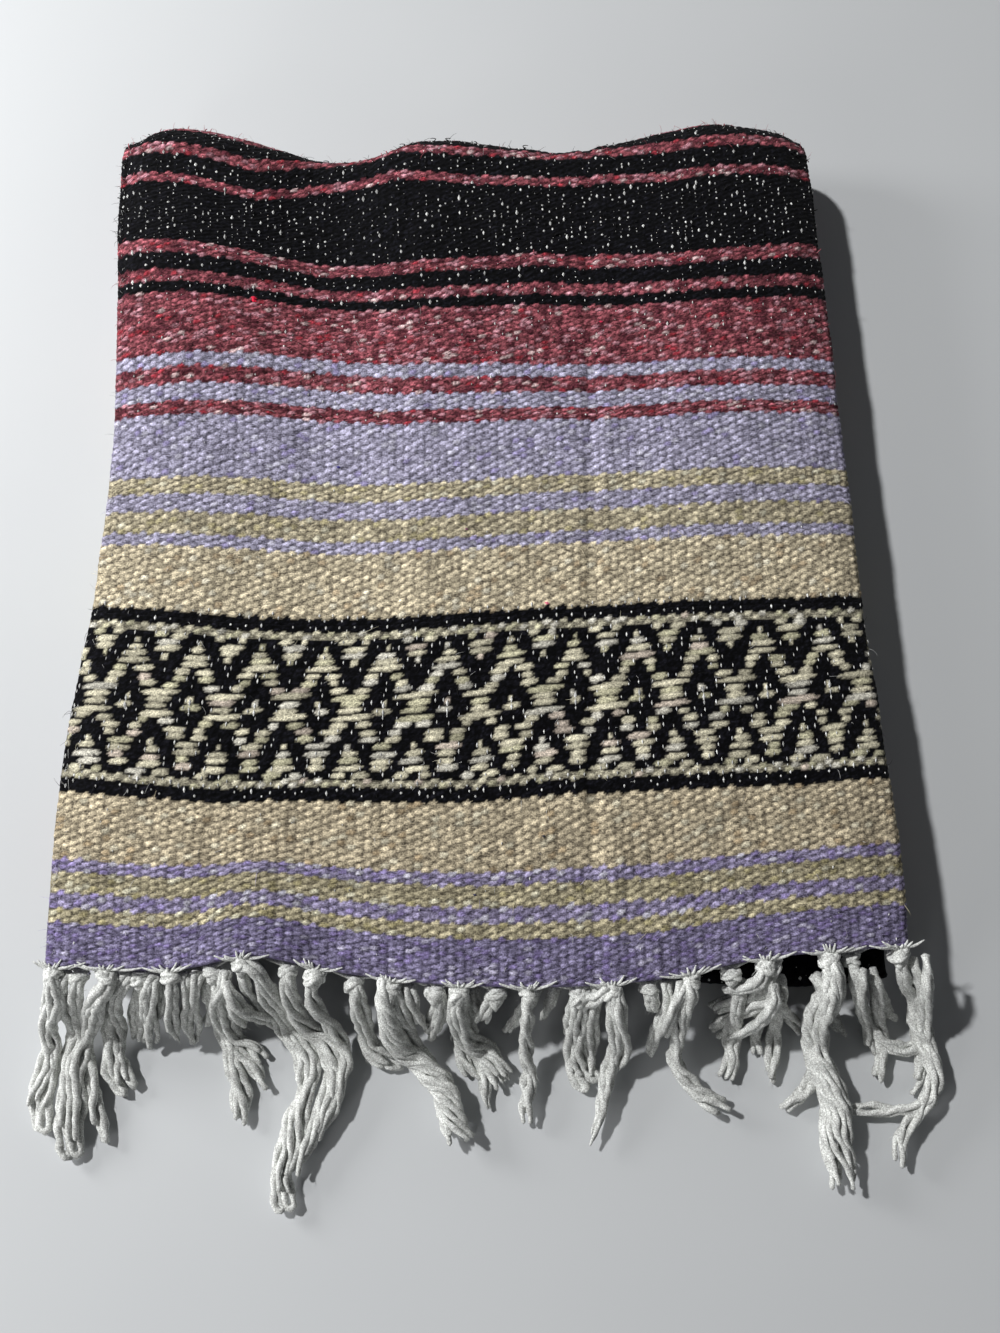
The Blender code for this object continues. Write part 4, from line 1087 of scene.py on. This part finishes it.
found = []  # centre, the three directions, the three half sizes and the colour of each speck
for name in ("clothFront", "clothMiddle", "clothBack", "middleFold"):
    lifted, normals, rows, ends, dye = woven[name]
    places = speckPlaces(rows, ends)
    i = np.clip(np.searchsorted(rows, places[:, 0]), 1, len(rows) - 2)
    j = np.clip(np.searchsorted(ends, places[:, 1]), 1, len(ends) - 2)
    up = normals[i, j]
    along = unit(lifted[i + 1, j] - lifted[i - 1, j])
    cell = places[:, 0] * 8, places[:, 1] * 8
    few = (hashed(*cell, 33) < speckLook["onMiddleFold"]) | (name != "middleFold")
    lot = hashed(*cell, 31)
    bold = (places[:, 0] >= lineRows[0]) & (places[:, 0] < lineRows[-1] + 2)
    lot = np.where(bold, 0.70 + 0.55 * lot, 0.40 + 1.45 * lot**3)[:, None]
    sizes = np.column_stack([places[:, 3], places[:, 2], np.full(len(places), speckLook["high"])]) * lot
    colors = np.array(speckLook["color"]) * (0.42 + 0.60 * hashed(*cell, 32))[:, None]
    ways = np.stack([np.cross(along, up), along, up], axis=1)
    shown = (up[:, 2] > -0.3) & few  # none underneath
    found += zip((lifted[i, j] + up * speckLook["lift"])[shown], ways[shown], sizes[shown], colors[shown])
    for x, y, halfLong, color in slubs if name != "middleFold" else ():
        off = np.hypot(lifted[..., 0] - x / 1000, lifted[..., 1] - y / 1000)
        i, j = np.unravel_index(np.argmin(off), off.shape)
        if off[i, j] < slub["near"] and lifted[i, j, 2] > slub["above"]:
            up = normals[i, j]
            side = unit(np.cross(up, (0.3, 1.0, 0.0)))
            ways = np.stack([side, np.cross(up, side), up])
            sizes = np.array([halfLong, halfLong * slub["wide"], slub["high"]]) / 1000
            found.append((lifted[i, j] + up * slub["lift"], ways, sizes, np.array(color)))
centres, ways, sizes, colors = (np.stack(its) for its in zip(*found))
tips = np.array([(1, 0, 0), (-1, 0, 0), (0, 1, 0), (0, -1, 0), (0, 0, 1), (0, 0, -1)], float)
points = centres[:, None] + np.einsum("nkc,ncx->nkx", tips * sizes[:, None], ways)
facets = np.array([(0, 2, 4), (2, 1, 4), (1, 3, 4), (3, 0, 4), (2, 0, 5), (1, 2, 5), (3, 1, 5), (0, 3, 5)])
numbers = np.arange(len(found))
faces = (facets + len(tips) * numbers[:, None, None]).reshape(-1, 3).tolist()
columns = math.ceil(math.sqrt(len(found)))
corner = np.repeat(np.column_stack([numbers % columns, numbers // columns]), len(facets), axis=0)
uvs = (corner[:, None] + ((0.1, 0.1), (0.8, 0.1), (0.4, 0.8))) / columns
newPiece("warpSpecks", points.reshape(-1, 3), faces, np.repeat(colors, len(tips), axis=0),
         np.full(len(tips) * len(found), 0.75), uvs, strayFibre, smooth=False)

fluff = {
    "count": 2100,
    "radius": 0.00010,
    "long": 0.0040,
    "onEdges": 0.36,
    "onBackFold": 0.62,
    "backRows": 60,
    "ownColor": 0.7,
    "pale": (0.50, 0.50, 0.49),
    "share": {
        "clothFront": 0.28,
        "clothMiddle": 0.22,
        "clothBack": 0.40,
        "foldedEdgesLeft": 0.06,
        "middleFold": 0.04,
    },
}
draws = np.random.RandomState(7)
tubes = []
for name, (lifted, normals, rows, ends, dye) in woven.items():
    for _ in range(int(fluff["count"] * fluff["share"].get(name, 0))):
        i, j = draws.randint(2, len(rows) - 2), draws.randint(2, len(ends) - 2)
        lot = draws.rand()
        if name == "clothBack" and lot < fluff["onBackFold"]:
            i = len(rows) - 1 - draws.randint(fluff["backRows"])
        elif lot > 1 - fluff["onEdges"]:
            j = 1 + draws.randint(4) if draws.rand() < 0.5 else len(ends) - 2 - draws.randint(4)
        up = normals[i, j]
        aside = unit(np.array([draws.randn(), draws.randn(), 0.0]))
        long = fluff["long"] * (0.4 + draws.rand())
        curl = np.array([draws.randn(), draws.randn(), 0]) * 0.3
        bends = [0 * up, aside * 0.3 + up * 0.18, aside * 0.62 + curl * 0.5 + up * 0.22]
        bends.append(aside * 0.85 + curl + up * 0.10)
        path = offFloor(lifted[i, j] - up * 0.0002 + np.array(bends) * long, 0.0002)
        color = dyeTable[dye[i, j]] if draws.rand() < fluff["ownColor"] else np.array(fluff["pale"])
        tubes.append((path, fluff["radius"] * np.array([1, 1, 0.8, 0.4]), 3, 0.0, 0, np.maximum(color, 0.02)))

tuft = {  # short ends on the back fold, and the longer curled ones among them
    "count": 620,
    "radius": 0.00036,
    "long": 0.0016,
    "rows": (112, 148),
    "onEdge": 0.08,
    "low": 0.0004,
    "darkest": 0.012,
    "curls": (-0.052, -0.034, -0.025, -0.098, 0.094, 0.116, -0.150, 0.020),  # x of each
    "curlRow": 139.5,
    "curlBow": 0.0016,
    "curlRise": (0.0022, 0.0016),  # the least, and how much more some have
    "curlThick": (0.00040, 0.00022),
    "curlSamples": 6,
}
lifted, normals, rows, ends, dye = woven["clothBack"]
firstRow, lastRow = tuft["rows"]
for _ in range(tuft["count"]):
    i = int(np.searchsorted(rows, firstRow + (lastRow - firstRow) * draws.rand()))
    j = draws.randint(2, len(ends) - 2)
    if draws.rand() < tuft["onEdge"]:
        j = 1 + draws.randint(3)
    up, aside = normals[i, j], draws.randn(3) * 0.7
    long = tuft["long"] * (0.4 + draws.rand())
    start = lifted[i, j] - up * 0.0003
    corners = [start, start + up * long * 0.6 + aside * long * 0.2, start + (up * 0.75 + aside) * long * 0.8]
    path = offFloor(curveThrough(corners, long * 0.5), tuft["low"])
    thick = tuft["radius"] * (0.6 + 0.6 * draws.rand())
    color = np.maximum(dyeTable[dye[i, j]], tuft["darkest"])
    tubes.append((path, thick * np.linspace(1.0, 0.7, len(path)), 4, 0.0, 0, color))
for x in tuft["curls"]:
    i = int(np.searchsorted(rows, tuft["curlRow"] + 1.5 * draws.rand()))
    j = int(np.argmin(np.abs(lifted[i, :, 0] - x)))
    hand = 1 if draws.rand() < 0.5 else -1
    turns = np.linspace(0, 1, tuft["curlSamples"])[:, None]
    bow = np.array([1.0, 0.0, 0.0]) * hand * tuft["curlBow"] * np.sin(turns * 4.2)
    least, more = tuft["curlRise"]
    rise = np.array([0.0, 0.45, 0.9]) * turns * (least + more * draws.rand()) * (1.5 - turns)
    color = np.maximum(dyeTable[dye[i, j]], tuft["darkest"])
    thick = np.linspace(*tuft["curlThick"], len(turns))
    tubes.append((lifted[i, j] + rise + bow, thick, 4, 0.0, 0, color))
tubesPiece("strayFibres", tubes, strayFibre)
